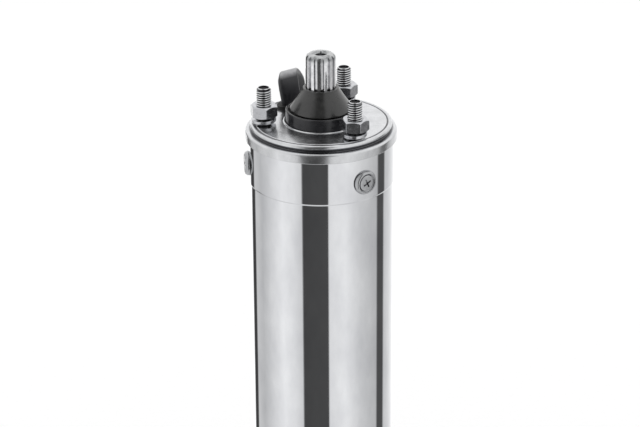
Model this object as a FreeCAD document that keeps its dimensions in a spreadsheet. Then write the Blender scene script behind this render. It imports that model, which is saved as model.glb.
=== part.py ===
import FreeCAD, Part
import math
import operator
import os

import Sketcher

# Motor of a borehole submersible pump, millimetres, +Z up the shaft.
# The origin is the centre of the foot, on the surface that the motor stands on.
# Every piece is drawn with its studs on local +X and turned by stud_azimuth, so that the
# studs and radial screws stand at 60, 180 and 300 degrees and the power lead at 120 degrees.

DOC = FreeCAD.newDocument("BoreholeMotor")
SHEET = DOC.addObject("Spreadsheet::Sheet", "Sizes")

DRIVING = {
    # whole motor
    "top_space": 82.0,
    "stud_azimuth": 60.0,
    "fastener_count": 3,
    "fit_gap": 0.05,
    "loose_gap": 0.3,
    "running_gap": 0.04,
    "cut_past": 1.0,
    # stainless tube, wider where the upper end bell sits in it
    "tube_od": 76.0,
    "tube_wall": 1.5,
    "band_growth": 0.5,
    "band_end_drop": 32.2,
    "band_taper": 1.2,
    "tube_end_drop": 6.0,
    # deep-drawn top cover
    "cover_sheet": 1.2,
    "skirt_gap": 0.3,
    "shoulder_step": 2.5,
    "bead_radius": 1.85,
    "shoulder_drop": 3.7,
    "groove_depth": 1.1,
    "shoulder_radius": 1.3,
    "skirt_drop": 9.0,
    # upper end bell
    "bell_rim": 1.7,
    "bell_depth": 31.6,
    "hub_wall": 5.0,
    "bell_hub_drop": 46.0,
    "bell_chamfer": 1.0,
    "bell_web_overlap": 1.0,
    # studs, nuts and spring washers that hold the pump's bracket
    "stud_edge": 5.65,
    "stud_diameter": 8.0,
    "stud_pitch_diameter": 7.19,
    "stud_height": 19.8,
    "stud_depth": 16.0,
    "stud_hole_spare": 2.0,
    "stud_chamfer": 1.1,
    "stud_dish": 0.7,
    "stud_dish_radius": 2.6,
    "nut_across_flats": 13.0,
    "nut_height": 6.5,
    "nut_seat": 3.9,
    "nut_chamfer": 0.85,
    "spring_washer_od": 12.7,
    "spring_washer_wall": 2.1,
    "spring_washer_thick": 1.6,
    "spring_washer_rise": 2.1,
    "spring_washer_turn": 0.95,
    # radial screws through the tube, with cup washers
    "screw_diameter": 6.0,
    "screw_drop": 22.4,
    "screw_length": 10.0,
    "screw_hole_spare": 1.0,
    "screw_head_radius": 4.75,
    "screw_head_crown": 0.5,
    "screw_crown_width": 1.5,
    "cup_radius": 6.6,
    "cup_top_radius": 5.6,
    "cup_height": 2.2,
    "cup_wall": 0.5,
    # O-rings in the end bells
    "ring_section": 1.9,
    "ring_groove_width": 2.8,
    "upper_ring_drop": 28.9,
    "lower_ring_level": 37.5,
    # shaft
    "spline_teeth": 14,
    "spline_od": 15.9,
    "spline_depth": 1.35,
    "flute_mouth": 2.15,
    "flute_floor": 1.05,
    "shaft_height": 37.4,
    "shaft_crown": 2.7,
    "spline_length": 21.5,
    "centre_hole": 5.5,
    "centre_hole_depth": 7.0,
    "centre_cone": 2.4,
    "journal_diameter": 16.0,
    "rotor_seat_diameter": 22.0,
    "shaft_foot_level": 66.0,
    "shaft_chamfer": 1.0,
    "journal_step": 0.5,
    # sand slinger
    "slinger_base_radius": 16.4,
    "slinger_top_radius": 9.4,
    "slinger_base_height": 7.5,
    "slinger_height": 18.9,
    "slinger_lip": 0.7,
    "slinger_wall": 1.9,
    "slinger_hub_radius": 10.4,
    "slinger_hub_height": 5.4,
    "slinger_hub_rise": 4.0,
    "slinger_top_round": 0.5,
    # seal housing and shaft seals
    "collar_radius": 18.6,
    "collar_height": 6.9,
    "collar_wall": 1.5,
    "collar_depth": 3.2,
    "collar_floor_height": 3.4,
    "collar_lip_round": 0.6,
    "collar_ledge": 0.6,
    "collar_bore_gap": 2.5,
    "lip_seal_radius": 14.0,
    "lip_seal_height": 5.0,
    "lip_seal_lip": 1.6,
    "lip_seal_heel": 2.56,
    "lip_seal_neck": 1.4,
    "lip_seal_wall": 1.2,
    "seal_chamber_radius": 15.0,
    "seal_chamber_drop": 26.0,
    "seal_seat_radius": 13.6,
    "seal_seat_height": 4.6,
    "seal_seat_bore": 9.2,
    "seal_face_radius": 12.6,
    "seal_face_height": 3.0,
    "seal_sleeve_radius": 10.4,
    "seal_sleeve_height": 6.0,
    "seal_spring_radius": 12.0,
    "seal_spring_wire": 1.4,
    "seal_spring_turns": 3.0,
    "seal_collar_radius": 13.6,
    "seal_collar_height": 1.6,
    "seal_spring_room": 1.0,
    # ball bearings
    "upper_bearing_bore": 17.0,
    "upper_bearing_od": 40.0,
    "upper_bearing_width": 12.0,
    "upper_bearing_drop": 33.0,
    "lower_bearing_bore": 20.0,
    "lower_bearing_od": 47.0,
    "lower_bearing_width": 14.0,
    "lower_bearing_level": 75.0,
    "ball_count": 8,
    "ball_share": 0.587,
    "race_gap": 0.08,
    "land_share": 0.637,
    "cage_share": 0.74,
    "cage_margin": 1.0,
    "disc_spring_height": 1.5,
    "disc_spring_thick": 0.6,
    "disc_spring_reach": 5.0,
    "circlip_thick": 1.2,
    "circlip_reach": 1.6,
    "circlip_groove": 0.8,
    "circlip_gap_angle": 40.0,
    "housing_circlip_thick": 1.5,
    "housing_circlip_reach": 3.2,
    "housing_circlip_groove": 1.4,
    # stator
    "core_level": 128.0,
    "core_length": 150.0,
    "stator_bore": 37.8,
    "slot_count": 24,
    "slot_mouth": 2.0,
    "slot_mouth_depth": 0.9,
    "slot_neck_width": 3.0,
    "slot_neck_depth": 1.8,
    "slot_width": 5.4,
    "yoke_width": 6.55,
    "coil_gap": 0.35,
    "end_turn_height": 28.0,
    "end_turn_bore_gap": 2.6,
    "end_turn_wall_gap": 3.45,
    "end_turn_round": 4.0,
    # rotor
    "rotor_od": 37.0,
    "bar_count": 18,
    "bar_diameter": 3.6,
    "bar_circle": 31.0,
    "end_ring_inner": 13.0,
    "end_ring_outer": 18.0,
    "end_ring_height": 9.0,
    # lower end bell
    "foot_height": 8.0,
    "rim_gasket": 2.0,
    "lower_spigot_level": 46.0,
    "lower_hub_level": 93.0,
    "lower_hub_slope": 4.0,
    "bearing_shoulder": 4.0,
    "oil_sump_level": 60.0,
    "oil_passage_radius": 6.0,
    "chamber_wall": 4.4,
    "chamber_level": 40.0,
    "lower_screw_level": 24.0,
    # foot cover and its screws
    "foot_inset": 0.3,
    "foot_chamfer": 1.5,
    "foot_recess_step": 2.0,
    "foot_recess_level": 3.0,
    "breather_radius": 2.0,
    "breather_circle": 34.0,
    "spring_boss_radius": 7.6,
    "spring_boss_height": 1.6,
    "foot_screw_edge": 7.3,
    "foot_screw_diameter": 5.0,
    "foot_screw_head": 10.0,
    "foot_screw_sink": 0.3,
    "foot_screw_reach": 18.0,
    # rolling diaphragm, its plate and spring
    "diaphragm_rim_gap": 0.85,
    "diaphragm_wall": 1.5,
    "diaphragm_taper": 3.3,
    "diaphragm_floor_level": 15.0,
    "plate_disc_gap": 3.4,
    "plate_disc_thick": 1.5,
    "plate_rim_height": 1.6,
    "plate_boss_radius": 8.0,
    "plate_boss_height": 1.6,
    "return_spring_radius": 10.2,
    "return_spring_wire": 1.4,
    "return_spring_turns": 3.0,
    # power lead
    "gland_length": 17.0,
    "gland_width": 8.0,
    "gland_height": 1.6,
    "gland_depth": 14.0,
    "passage_length": 12.0,
    "passage_width": 5.0,
    "fold_rise": 17.0,
    "fold_reach": 10.0,
    "fold_aside": 0.9,
    "fold_lift": 0.6,
    "lead_diameter": 7.5,
    "lead_width": 12.3,
    "coil_middle_radius": 62.6,
    "coil_thick": 17.4,
    "core_wire_radius": 1.2,
    "core_wire_pitch": 2.9,
    "core_foot": 1.8,
    "core_wire_length": 26.0,
    "core_count": 4,
    "ferrule_radius": 1.65,
    "ferrule_collar": 4.5,
    "ferrule_pin_radius": 0.9,
    "ferrule_length": 12.0,
    "inner_wire_radius": 1.1,
    "inner_wire_pitch": 3.4,
    "inner_wire_count": 3,
}

# The way of the lead behind the motor, from the rim down to the coil on the floor: how far along
# +X, how far outside the cover, and how high as a share of the plate's height.
LEAD_RUN = [
    (-11.6, 4.8, 1.014),
    (-11.2, 8.2, 0.961),
    (-10.8, 9.8, 0.864),
    (-11.4, 8.6, 0.681),
    (-12.4, 7.6, 0.486),
    (-12.0, 8.8, 0.311),
    (-9.0, 10.6, 0.183),
    (1.0, 12.8, 0.092),
    (20.0, 15.4, 0.033),
    (42.0, 16.9, 0.0178),
]
COIL_CENTRE = (44.0, 126.0)
CORES_START = (13.15, 83.54)
CORES_HEADING = 349.0
CORES_FAN = 6.5


class Size:
    """A number together with its formula in the sheet's names."""

    def __init__(self, value, formula):
        self.value = float(value)
        self.formula = formula

    def __add__(self, other):
        return joined(self, "+", other)

    def __radd__(self, other):
        return joined(other, "+", self)

    def __sub__(self, other):
        return joined(self, "-", other)

    def __rsub__(self, other):
        return joined(other, "-", self)

    def __mul__(self, other):
        return joined(self, "*", other)

    def __rmul__(self, other):
        return joined(other, "*", self)

    def __truediv__(self, other):
        return joined(self, "/", other)

    def __rtruediv__(self, other):
        return joined(other, "/", self)

    def __neg__(self):
        return joined(0, "-", self)


SIGNS = {"+": operator.add, "-": operator.sub, "*": operator.mul, "/": operator.truediv}


def as_size(number):
    return number if isinstance(number, Size) else Size(number, repr(float(number)))


def joined(first, sign, second):
    first, second = as_size(first), as_size(second)
    value = SIGNS[sign](first.value, second.value)
    return Size(value, f"({first.formula} {sign} {second.formula})")


def leg(longest, other):
    """The third side of a right triangle with this longest side."""
    squared = longest * longest - other * other
    return Size(math.sqrt(squared.value), f"sqrt({squared.formula})")


def slope(angle, function, name):
    """A sine, cosine or tangent of an angle in degrees."""
    angle = as_size(angle)
    return Size(function(math.radians(angle.value)), f"{name}({angle.formula} * 1 deg)")


def fill_sheet():
    """Writes the driving sizes into the sheet and returns them by name."""
    for row, (name, number) in enumerate(DRIVING.items(), start=1):
        SHEET.set(f"A{row}", name)
        SHEET.set(f"B{row}", str(number))
        SHEET.setAlias(f"B{row}", name)
    DOC.recompute()
    return {name: Size(number, f"Sizes.{name}") for name, number in DRIVING.items()}


D = fill_sheet()
FULL_TURN = 360
PLATE = D["core_level"] + D["core_length"] + D["top_space"]
TUBE_RADIUS = D["tube_od"] / 2
BAND_RADIUS = TUBE_RADIUS + D["band_growth"]
UPPER_SPIGOT = BAND_RADIUS - D["tube_wall"] - D["fit_gap"]
LOWER_SPIGOT = TUBE_RADIUS - D["tube_wall"] - D["fit_gap"]
COVER_RADIUS = BAND_RADIUS + D["skirt_gap"] + D["cover_sheet"]
BEAD_EDGE = COVER_RADIUS - D["shoulder_step"]
GROOVE_RADIUS = BEAD_EDGE - D["groove_depth"]
PLATE_RADIUS = BEAD_EDGE - D["bead_radius"]
STUD_RADIUS = PLATE_RADIUS - D["stud_edge"]
LEAD_RADIUS = (D["collar_radius"] + PLATE_RADIUS) / 2
FOOT_RADIUS = TUBE_RADIUS - D["foot_inset"]
FOOT_SCREW_RADIUS = FOOT_RADIUS - D["foot_screw_edge"]
CHAMBER_RADIUS = FOOT_SCREW_RADIUS - D["chamber_wall"]
FOOT_RECESS = CHAMBER_RADIUS - D["foot_recess_step"]
DIAPHRAGM_OUTER = FOOT_RECESS + D["loose_gap"]
DIAPHRAGM_INNER = DIAPHRAGM_OUTER - D["diaphragm_taper"]
TURNED = {}


def bind(thing, prop, size):
    """Sets a property to a size and ties it to the sheet."""
    if isinstance(size, Size):
        thing.setExpression(prop, size.formula)
        return size.value
    return size


def origin_part(body, role):
    return next(f for f in body.Origin.OriginFeatures if f.Role == role)


def new_body(label, turned=False):
    body = DOC.addObject("PartDesign::Body", label)
    body.Label = label
    body.AllowCompound = True
    TURNED[label] = turned
    return body


def new_sketch(body, plane, across=0, up=0, turn=0):
    """A sketch on one of the body's own planes, moved along it or, for XY_Plane, above it."""
    sketch = body.newObject("Sketcher::SketchObject", "Sketch")
    sketch.AttachmentSupport = (origin_part(body, plane), [""])
    sketch.MapMode = "FlatFace"
    across, up, turn = as_size(across), as_size(up), as_size(turn)
    shift = FreeCAD.Vector(across.value, 0, up.value) if plane == "XY_Plane" else None
    shift = shift or FreeCAD.Vector(across.value, up.value, 0)
    spin = FreeCAD.Rotation(FreeCAD.Vector(0, 0, 1), turn.value)
    sketch.AttachmentOffset = FreeCAD.Placement(spin.multVec(shift), spin)
    height = "z" if plane == "XY_Plane" else "y"
    if turn.value:
        cosine = slope(turn, math.cos, "cos")
        sine = slope(turn, math.sin, "sin")
        sketch.setExpression("AttachmentOffset.Rotation.Angle", f"{turn.formula} * 1 deg")
        sketch.setExpression("AttachmentOffset.Base.x", (across * cosine).formula)
        sketch.setExpression("AttachmentOffset.Base.y", (across * sine).formula)
    else:
        sketch.setExpression("AttachmentOffset.Base.x", across.formula)
    sketch.setExpression(f"AttachmentOffset.Base.{height}", up.formula)
    return sketch


def constrain(sketch, kind, *about, size=None):
    """Adds a constraint and ties its number to the sheet."""
    if size is None:
        sketch.addConstraint(Sketcher.Constraint(kind, *about))
        return
    size = as_size(size)
    number = sketch.addConstraint(Sketcher.Constraint(kind, *about, size.value))
    if "Sizes." in size.formula:
        sketch.setExpression(f"Constraints[{number}]", size.formula)


def arc_between(start, end, radius):
    """The short arc from start to end, bulging to the right of the way for a positive radius.
    A sketch keeps its arcs anticlockwise, so the other kind is drawn from end to start."""
    start, end = FreeCAD.Vector(*start, 0), FreeCAD.Vector(*end, 0)
    if radius < 0:
        start, end = end, start
    chord = end - start
    to_left = FreeCAD.Vector(-chord.y, chord.x, 0).normalize()
    rise = math.sqrt(max(radius**2 - (chord.Length / 2) ** 2, 0))
    centre = start + chord / 2 + to_left * rise
    ring = Part.Circle(centre, FreeCAD.Vector(0, 0, 1), abs(radius))
    first = math.atan2(start.y - centre.y, start.x - centre.x)
    last = math.atan2(end.y - centre.y, end.x - centre.x)
    if last < first:
        last += 2 * math.pi
    return Part.ArcOfCircle(ring, first, last)


def outline(sketch, points):
    """Draws a closed outline. A point is (across, up) or, where an arc arrives at it,
    (across, up, radius), positive if the arc bulges to the right of the way round."""
    count = len(points)
    flat = [(as_size(p[0]).value, as_size(p[1]).value) for p in points]
    starts, ends = {}, {}
    for k in range(count):
        arrive = points[(k + 1) % count]
        a, b = flat[k], flat[(k + 1) % count]
        if len(arrive) == 3:
            radius = as_size(arrive[2]).value
            sketch.addGeometry(arc_between(a, b, radius), False)
            starts[k], ends[k] = (1, 2) if radius > 0 else (2, 1)
        else:
            line = Part.LineSegment(FreeCAD.Vector(*a, 0), FreeCAD.Vector(*b, 0))
            sketch.addGeometry(line, False)
            starts[k], ends[k] = 1, 2
    for k in range(count):
        after = (k + 1) % count
        constrain(sketch, "Coincident", k, ends[k], after, starts[after])
        constrain(sketch, "DistanceX", k, starts[k], size=points[k][0])
        constrain(sketch, "DistanceY", k, starts[k], size=points[k][1])
        if len(points[after]) == 3:
            radius = as_size(points[after][2])
            constrain(sketch, "Radius", k, size=radius if radius.value > 0 else -radius)
    return sketch


def circle(sketch, radius, across=0, up=0):
    across, up, radius = as_size(across), as_size(up), as_size(radius)
    centre = FreeCAD.Vector(across.value, up.value, 0)
    number = sketch.addGeometry(
        Part.Circle(centre, FreeCAD.Vector(0, 0, 1), radius.value), False
    )
    constrain(sketch, "Radius", number, size=radius)
    constrain(sketch, "DistanceX", number, 3, size=across)
    constrain(sketch, "DistanceY", number, 3, size=up)
    return sketch


def round_ended(sketch, half_straight, radius):
    """A slot outline with round ends, along the sketch's second axis, about its origin."""
    half = as_size(half_straight).value
    wide = as_size(radius).value
    up_line = Part.LineSegment(FreeCAD.Vector(wide, -half, 0), FreeCAD.Vector(wide, half, 0))
    down_line = Part.LineSegment(FreeCAD.Vector(-wide, half, 0), FreeCAD.Vector(-wide, -half, 0))
    axis = FreeCAD.Vector(0, 0, 1)
    top = Part.ArcOfCircle(Part.Circle(FreeCAD.Vector(0, half, 0), axis, wide), 0, math.pi)
    low = Part.ArcOfCircle(
        Part.Circle(FreeCAD.Vector(0, -half, 0), axis, wide), math.pi, 2 * math.pi
    )
    for part in (up_line, top, down_line, low):
        sketch.addGeometry(part, False)
    for k in range(4):
        sketch.addConstraint(Sketcher.Constraint("Tangent", k, 2, (k + 1) % 4, 1))
    constrain(sketch, "DistanceX", 1, 3, size=0)
    constrain(sketch, "DistanceX", 3, 3, size=0)
    constrain(sketch, "DistanceY", 1, 3, size=half_straight)
    constrain(sketch, "DistanceY", 3, 3, size=-half_straight)
    constrain(sketch, "Radius", 1, size=radius)
    return sketch


def feature(body, kind, sketch, **numbers):
    made = body.newObject(f"PartDesign::{kind}", kind)
    made.Profile = sketch
    for prop, size in numbers.items():
        setattr(made, prop, bind(made, prop, size))
    body.Tip = made
    return made


def turned_solid(body, sketch, kind="Revolution", axis="V_Axis"):
    made = feature(body, kind, sketch)
    made.ReferenceAxis = (sketch, [axis])
    made.Angle = FULL_TURN
    return made


def revolved(label, points):
    """A body turned about the shaft's axis from a half section in (radius, height)."""
    body = new_body(label)
    turned_solid(body, outline(new_sketch(body, "XZ_Plane"), points))
    return body


def pad(body, sketch, length):
    return feature(body, "Pad", sketch, Length=length)


def pocket(body, sketch, length, towards_normal=False):
    made = feature(body, "Pocket", sketch, Length=length)
    made.Reversed = towards_normal
    return made


def repeated(body, made, count):
    """Copies a feature evenly round the shaft's axis."""
    DOC.recompute()
    pattern = body.newObject("PartDesign::PolarPattern", "PolarPattern")
    pattern.Originals = [made] if made else []
    pattern.Axis = (origin_part(body, "Z_Axis"), [""])
    pattern.Angle = FULL_TURN
    pattern.Occurrences = int(as_size(count).value)
    bind(pattern, "Occurrences", count)
    body.Tip = pattern
    return pattern


def helix(body, sketch, pitch, turns):
    """A section carried once round its sketch's upright axis, rising by the pitch each turn."""
    made = feature(body, "AdditiveHelix", sketch)
    made.ReferenceAxis = (sketch, ["V_Axis"])
    made.Mode = "pitch-turns-angle"
    made.Pitch = bind(made, "Pitch", pitch)
    made.Turns = bind(made, "Turns", turns)
    return made


def box_points(inner, low, outer, high):
    return [(inner, low), (outer, low), (outer, high), (inner, high)]


def top_cover():
    """Deep-drawn stainless cover: plate, rolled bead, groove and skirt over the tube's end."""
    sheet = D["cover_sheet"]
    skirt, bead, groove = COVER_RADIUS, D["bead_radius"], GROOVE_RADIUS
    bead_low = PLATE - bead - leg(bead, groove - PLATE_RADIUS)
    shoulder_level = PLATE - D["shoulder_drop"]
    shoulder = skirt - D["shoulder_radius"]
    hole = D["collar_radius"] + D["loose_gap"]
    skirt_inside = skirt - sheet
    web_low = shoulder_level - sheet
    points = [
        (hole, PLATE - sheet),
        (PLATE_RADIUS, PLATE - sheet),
        (BEAD_EDGE - sheet, PLATE - bead),
        (groove - sheet, PLATE - bead - sheet),
        (groove - sheet, web_low),
        (skirt_inside, web_low),
        (skirt_inside, PLATE - D["skirt_drop"]),
        (skirt, PLATE - D["skirt_drop"]),
        (skirt, shoulder_level - D["shoulder_radius"]),
        (shoulder, shoulder_level, D["shoulder_radius"]),
        (groove, shoulder_level),
        (groove, bead_low),
        (PLATE_RADIUS, PLATE, bead),
        (hole, PLATE),
    ]
    body = new_body("top_cover", turned=True)
    turned_solid(body, outline(new_sketch(body, "XZ_Plane"), points))
    stud_hole = circle(
        new_sketch(body, "XY_Plane", up=PLATE),
        D["stud_diameter"] / 2 + D["loose_gap"],
        across=STUD_RADIUS,
    )
    repeated(body, pocket(body, stud_hole, 2 * sheet), D["fastener_count"])
    slot = lead_slot(body, PLATE, D["gland_length"], D["gland_width"])
    pocket(body, slot, 2 * sheet)
    return body


def lead_slot(body, level, length, width):
    """The flat lead's oblong, midway between two studs, long side round the shaft."""
    between = FULL_TURN / 2 / D["fastener_count"]
    sketch = new_sketch(body, "XY_Plane", across=LEAD_RADIUS, up=level, turn=between)
    return round_ended(sketch, (length - width) / 2, width / 2)


def upper_end_bell():
    """Cast end bell: rim on the tube's end, spigot, seal chamber and bearing seat."""
    gap = D["fit_gap"]
    sheet, bead = D["cover_sheet"], D["bead_radius"]
    under_cover = PLATE - sheet - gap
    step = GROOVE_RADIUS - sheet - gap * 4
    web_low = PLATE - D["shoulder_drop"] - sheet - gap
    rim = COVER_RADIUS - sheet - gap * 2
    rim_low = PLATE - D["tube_end_drop"]
    spigot, hub = UPPER_SPIGOT, D["upper_bearing_od"] / 2 + D["hub_wall"]
    spigot_low = PLATE - D["bell_depth"]
    hub_low = PLATE - D["bell_hub_drop"]
    seat = D["upper_bearing_od"] / 2 + gap / 2
    seat_top = PLATE - D["upper_bearing_drop"] + D["disc_spring_height"]
    collar_low = PLATE - D["collar_depth"] - gap
    seal_low = collar_low - D["seal_seat_height"]
    ring_low = PLATE - D["upper_ring_drop"] - D["ring_groove_width"] / 2
    ring_floor = spigot - D["ring_section"] - gap
    web = D["upper_bearing_od"] / 2 - D["disc_spring_reach"] - D["bell_web_overlap"]
    points = [
        (seat, hub_low),
        (hub, hub_low),
        (hub, spigot_low),
        (spigot - D["bell_chamfer"], spigot_low),
        (spigot, spigot_low + D["bell_chamfer"]),
        (spigot, ring_low),
        (ring_floor, ring_low),
        (ring_floor, ring_low + D["ring_groove_width"]),
        (spigot, ring_low + D["ring_groove_width"]),
        (spigot, rim_low),
        (rim, rim_low),
        (rim, web_low),
        (step, web_low),
        (step, PLATE - bead - sheet),
        (PLATE_RADIUS - sheet, under_cover),
        (D["collar_radius"] + gap, under_cover),
        (D["collar_radius"] + gap, collar_low),
        (D["seal_seat_radius"] + gap, collar_low),
        (D["seal_seat_radius"] + gap, seal_low),
        (D["seal_chamber_radius"], seal_low),
        (D["seal_chamber_radius"], PLATE - D["seal_chamber_drop"]),
        (web, PLATE - D["seal_chamber_drop"]),
        (web, seat_top),
        (seat, seat_top),
    ]
    body = new_body("upper_end_bell", turned=True)
    turned_solid(body, outline(new_sketch(body, "XZ_Plane"), points))
    hole = circle(
        new_sketch(body, "XY_Plane", up=PLATE),
        D["stud_pitch_diameter"] / 2 + gap,
        across=STUD_RADIUS,
    )
    repeated(body, pocket(body, hole, D["stud_depth"] + D["stud_hole_spare"]), D["fastener_count"])
    screw_hole_depth = spigot - BAND_RADIUS + D["screw_length"] + D["screw_hole_spare"]
    radial_holes(body, PLATE - D["screw_drop"], screw_hole_depth, spigot)
    slot = lead_slot(body, PLATE, D["gland_length"], D["gland_width"])
    pocket(body, slot, D["gland_depth"] + gap)
    passage = lead_slot(body, PLATE, D["passage_length"], D["passage_width"])
    pocket(body, passage, D["bell_hub_drop"] + D["cut_past"])
    return body


def screw_hole():
    return D["screw_diameter"] / 2 + D["fit_gap"]


def radial_holes(body, level, depth, from_radius, radius=screw_hole(), count=D["fastener_count"]):
    """Round holes pointing at the shaft's axis, cut inwards from just outside a radius."""
    sketch = new_sketch(body, "YZ_Plane", up=0)
    circle(sketch, radius, up=level)
    outside = from_radius + D["cut_past"]
    sketch.AttachmentOffset = FreeCAD.Placement(
        FreeCAD.Vector(0, 0, outside.value), FreeCAD.Rotation()
    )
    sketch.setExpression("AttachmentOffset.Base.z", outside.formula)
    repeated(body, pocket(body, sketch, depth + D["cut_past"]), count)


def motor_tube():
    """Thin stainless tube with a slightly wider band round the upper end bell."""
    outer, wall, band = TUBE_RADIUS, D["tube_wall"], BAND_RADIUS
    top = PLATE - D["tube_end_drop"] - D["fit_gap"]
    band_low = PLATE - D["band_end_drop"]
    low = D["foot_height"] + D["loose_gap"]
    points = [
        (outer - wall, low),
        (outer, low),
        (outer, band_low - D["band_taper"]),
        (band, band_low),
        (band, top),
        (band - wall, top),
        (band - wall, band_low),
        (outer - wall, band_low - D["band_taper"]),
    ]
    body = new_body("motor_tube", turned=True)
    turned_solid(body, outline(new_sketch(body, "XZ_Plane"), points))
    for level in (PLATE - D["screw_drop"], D["lower_screw_level"]):
        radial_holes(body, level, 2 * wall, band)
    return body


def pump_studs():
    """Studs with a chamfered, slightly dished end. The thread in the bell and the nut is drawn
    at its pitch diameter, and the free thread above the nut at its outside diameter."""
    radius, engaged = D["stud_diameter"] / 2, D["stud_pitch_diameter"] / 2
    top = PLATE + D["stud_height"]
    nut_top = PLATE + D["nut_seat"] + D["nut_height"] + 2 * D["fit_gap"]
    points = [
        (0, PLATE - D["stud_depth"]),
        (engaged, PLATE - D["stud_depth"]),
        (engaged, nut_top),
        (radius, nut_top),
        (radius, top - D["stud_chamfer"]),
        (radius - D["stud_chamfer"], top),
        (D["stud_dish_radius"], top),
        (0, top - D["stud_dish"]),
    ]
    body = new_body("pump_studs", turned=True)
    sketch = outline(new_sketch(body, "XZ_Plane", across=STUD_RADIUS), points)
    repeated(body, turned_solid(body, sketch), D["fastener_count"])
    return body


def stud_nuts():
    """Hexagon nuts, chamfered on both faces."""
    flat = D["nut_across_flats"] / 2
    corner = flat / slope(30, math.cos, "cos")
    bore = D["stud_pitch_diameter"] / 2 + D["fit_gap"]
    low = PLATE + D["nut_seat"]
    high = low + D["nut_height"]
    body = new_body("stud_nuts", turned=True)
    corners = [(0, corner), (-flat, corner / 2), (-flat, -corner / 2)]
    corners += [(0, -corner), (flat, -corner / 2), (flat, corner / 2)]
    base = new_sketch(body, "XY_Plane", across=STUD_RADIUS, up=low)
    pad(body, outline(base, corners), D["nut_height"])
    DOC.recompute()
    past, chamfer = corner + D["cut_past"], D["nut_chamfer"]
    for level, rise in ((low, chamfer), (high, -chamfer)):
        section = new_sketch(body, "XZ_Plane", across=STUD_RADIUS)
        outline(section, [(flat, level), (past, level), (past, level + rise)])
        turned_solid(body, section, kind="Groove")
        DOC.recompute()
    through = circle(
        new_sketch(body, "XY_Plane", across=STUD_RADIUS, up=high), bore
    )
    pocket(body, through, D["nut_height"])
    DOC.recompute()
    nuts = repeated(body, None, D["fastener_count"])
    nuts.TransformMode = "Whole shape"
    return body


def stud_spring_washers():
    """Split spring washers, open and springing, between the plate and each nut."""
    outer = D["spring_washer_od"] / 2
    inner = outer - D["spring_washer_wall"]
    low = PLATE + D["fit_gap"]
    body = new_body("stud_spring_washers", turned=True)
    section = new_sketch(body, "XZ_Plane", across=STUD_RADIUS)
    outline(section, box_points(inner, low, outer, low + D["spring_washer_thick"]))
    turn = helix(body, section, D["spring_washer_rise"], D["spring_washer_turn"])
    repeated(body, turn, D["fastener_count"])
    return body


def radial_screws(label, level, seat_radius):
    """Oval countersunk screws, pointing at the shaft."""
    shank, head = D["screw_diameter"] / 2, D["screw_head_radius"]
    under_head = seat_radius + D["cup_wall"]
    top = seat_radius + D["cup_height"]
    tip = seat_radius - D["screw_length"]
    points = [
        (tip, 0),
        (tip, shank),
        (under_head, shank),
        (top - D["screw_head_crown"], head),
        (top, head - D["screw_crown_width"]),
        (top, 0),
    ]
    body = new_body(label, turned=True)
    sketch = outline(new_sketch(body, "XZ_Plane", up=level), points)
    repeated(body, turned_solid(body, sketch, axis="H_Axis"), D["fastener_count"])
    return body


def cup_washers(label, level, seat_radius):
    """Domed cup washers with a cone for the screw head."""
    shank, head, gap = D["screw_diameter"] / 2, D["screw_head_radius"], D["fit_gap"]
    under_head = seat_radius + D["cup_wall"]
    top = seat_radius + D["cup_height"]
    points = [
        (seat_radius, shank + gap),
        (seat_radius, D["cup_radius"]),
        (seat_radius + D["cup_wall"], D["cup_radius"]),
        (top, D["cup_top_radius"]),
        (top, head + gap * 3),
        (top - D["screw_head_crown"], head + gap * 3),
        (under_head, shank + gap * 3),
    ]
    body = new_body(label, turned=True)
    sketch = outline(new_sketch(body, "XZ_Plane", up=level), points)
    repeated(body, turned_solid(body, sketch, axis="H_Axis"), D["fastener_count"])
    return body


def o_ring(label, level, outer):
    radius = D["ring_section"] / 2
    body = new_body(label)
    sketch = circle(new_sketch(body, "XZ_Plane"), radius, across=outer - radius, up=level)
    turned_solid(body, sketch)
    return body


def seal_housing():
    """Black collar on the plate that holds the lip seal and shields the slinger's mouth."""
    outer, low = D["collar_radius"], PLATE - D["collar_depth"]
    top, floor = PLATE + D["collar_height"], PLATE + D["collar_floor_height"]
    round_off = D["collar_lip_round"]
    seal_low = low + D["collar_ledge"]
    seat = D["lip_seal_radius"] + D["fit_gap"]
    bore = D["journal_diameter"] / 2 + D["collar_bore_gap"]
    return revolved(
        "seal_housing",
        [
            (bore, low),
            (outer, low),
            (outer, top - round_off),
            (outer - round_off, top, round_off),
            (outer - D["collar_wall"], top),
            (outer - D["collar_wall"], floor),
            (seat, floor),
            (seat, seal_low),
            (bore, seal_low),
        ],
    )


def lip_seal():
    """Rubber lip seal with its lip against the shaft."""
    low = PLATE - D["collar_depth"] + D["collar_ledge"] + D["fit_gap"]
    high = low + D["lip_seal_height"]
    shaft = D["journal_diameter"] / 2 + D["running_gap"]
    neck = shaft + D["lip_seal_neck"]
    inside = neck + D["lip_seal_wall"]
    return revolved(
        "lip_seal",
        [
            (neck, low),
            (D["lip_seal_radius"], low),
            (D["lip_seal_radius"], high),
            (inside, high),
            (inside, low + D["lip_seal_lip"]),
            (shaft, high - D["lip_seal_lip"]),
            (shaft, high - D["lip_seal_heel"]),
        ],
    )


def seal_seat():
    """Fixed ceramic ring of the mechanical seal, under the collar."""
    top = PLATE - D["collar_depth"] - D["fit_gap"] * 2
    low = top - D["seal_seat_height"] + D["fit_gap"] * 2
    return revolved(
        "seal_seat", box_points(D["seal_seat_bore"], low, D["seal_seat_radius"], top)
    )


def seal_levels():
    """Top of the turning face, top of its sleeve's spring and the spring's foot."""
    face_top = PLATE - D["collar_depth"] - D["seal_seat_height"] - D["fit_gap"] * 2
    spring_top = face_top - D["seal_face_height"] - D["fit_gap"]
    collar_top = PLATE - D["seal_chamber_drop"] + 2 * D["seal_collar_height"]
    spring_low = collar_top + D["seal_spring_room"]
    return face_top, spring_top, spring_low


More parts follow.
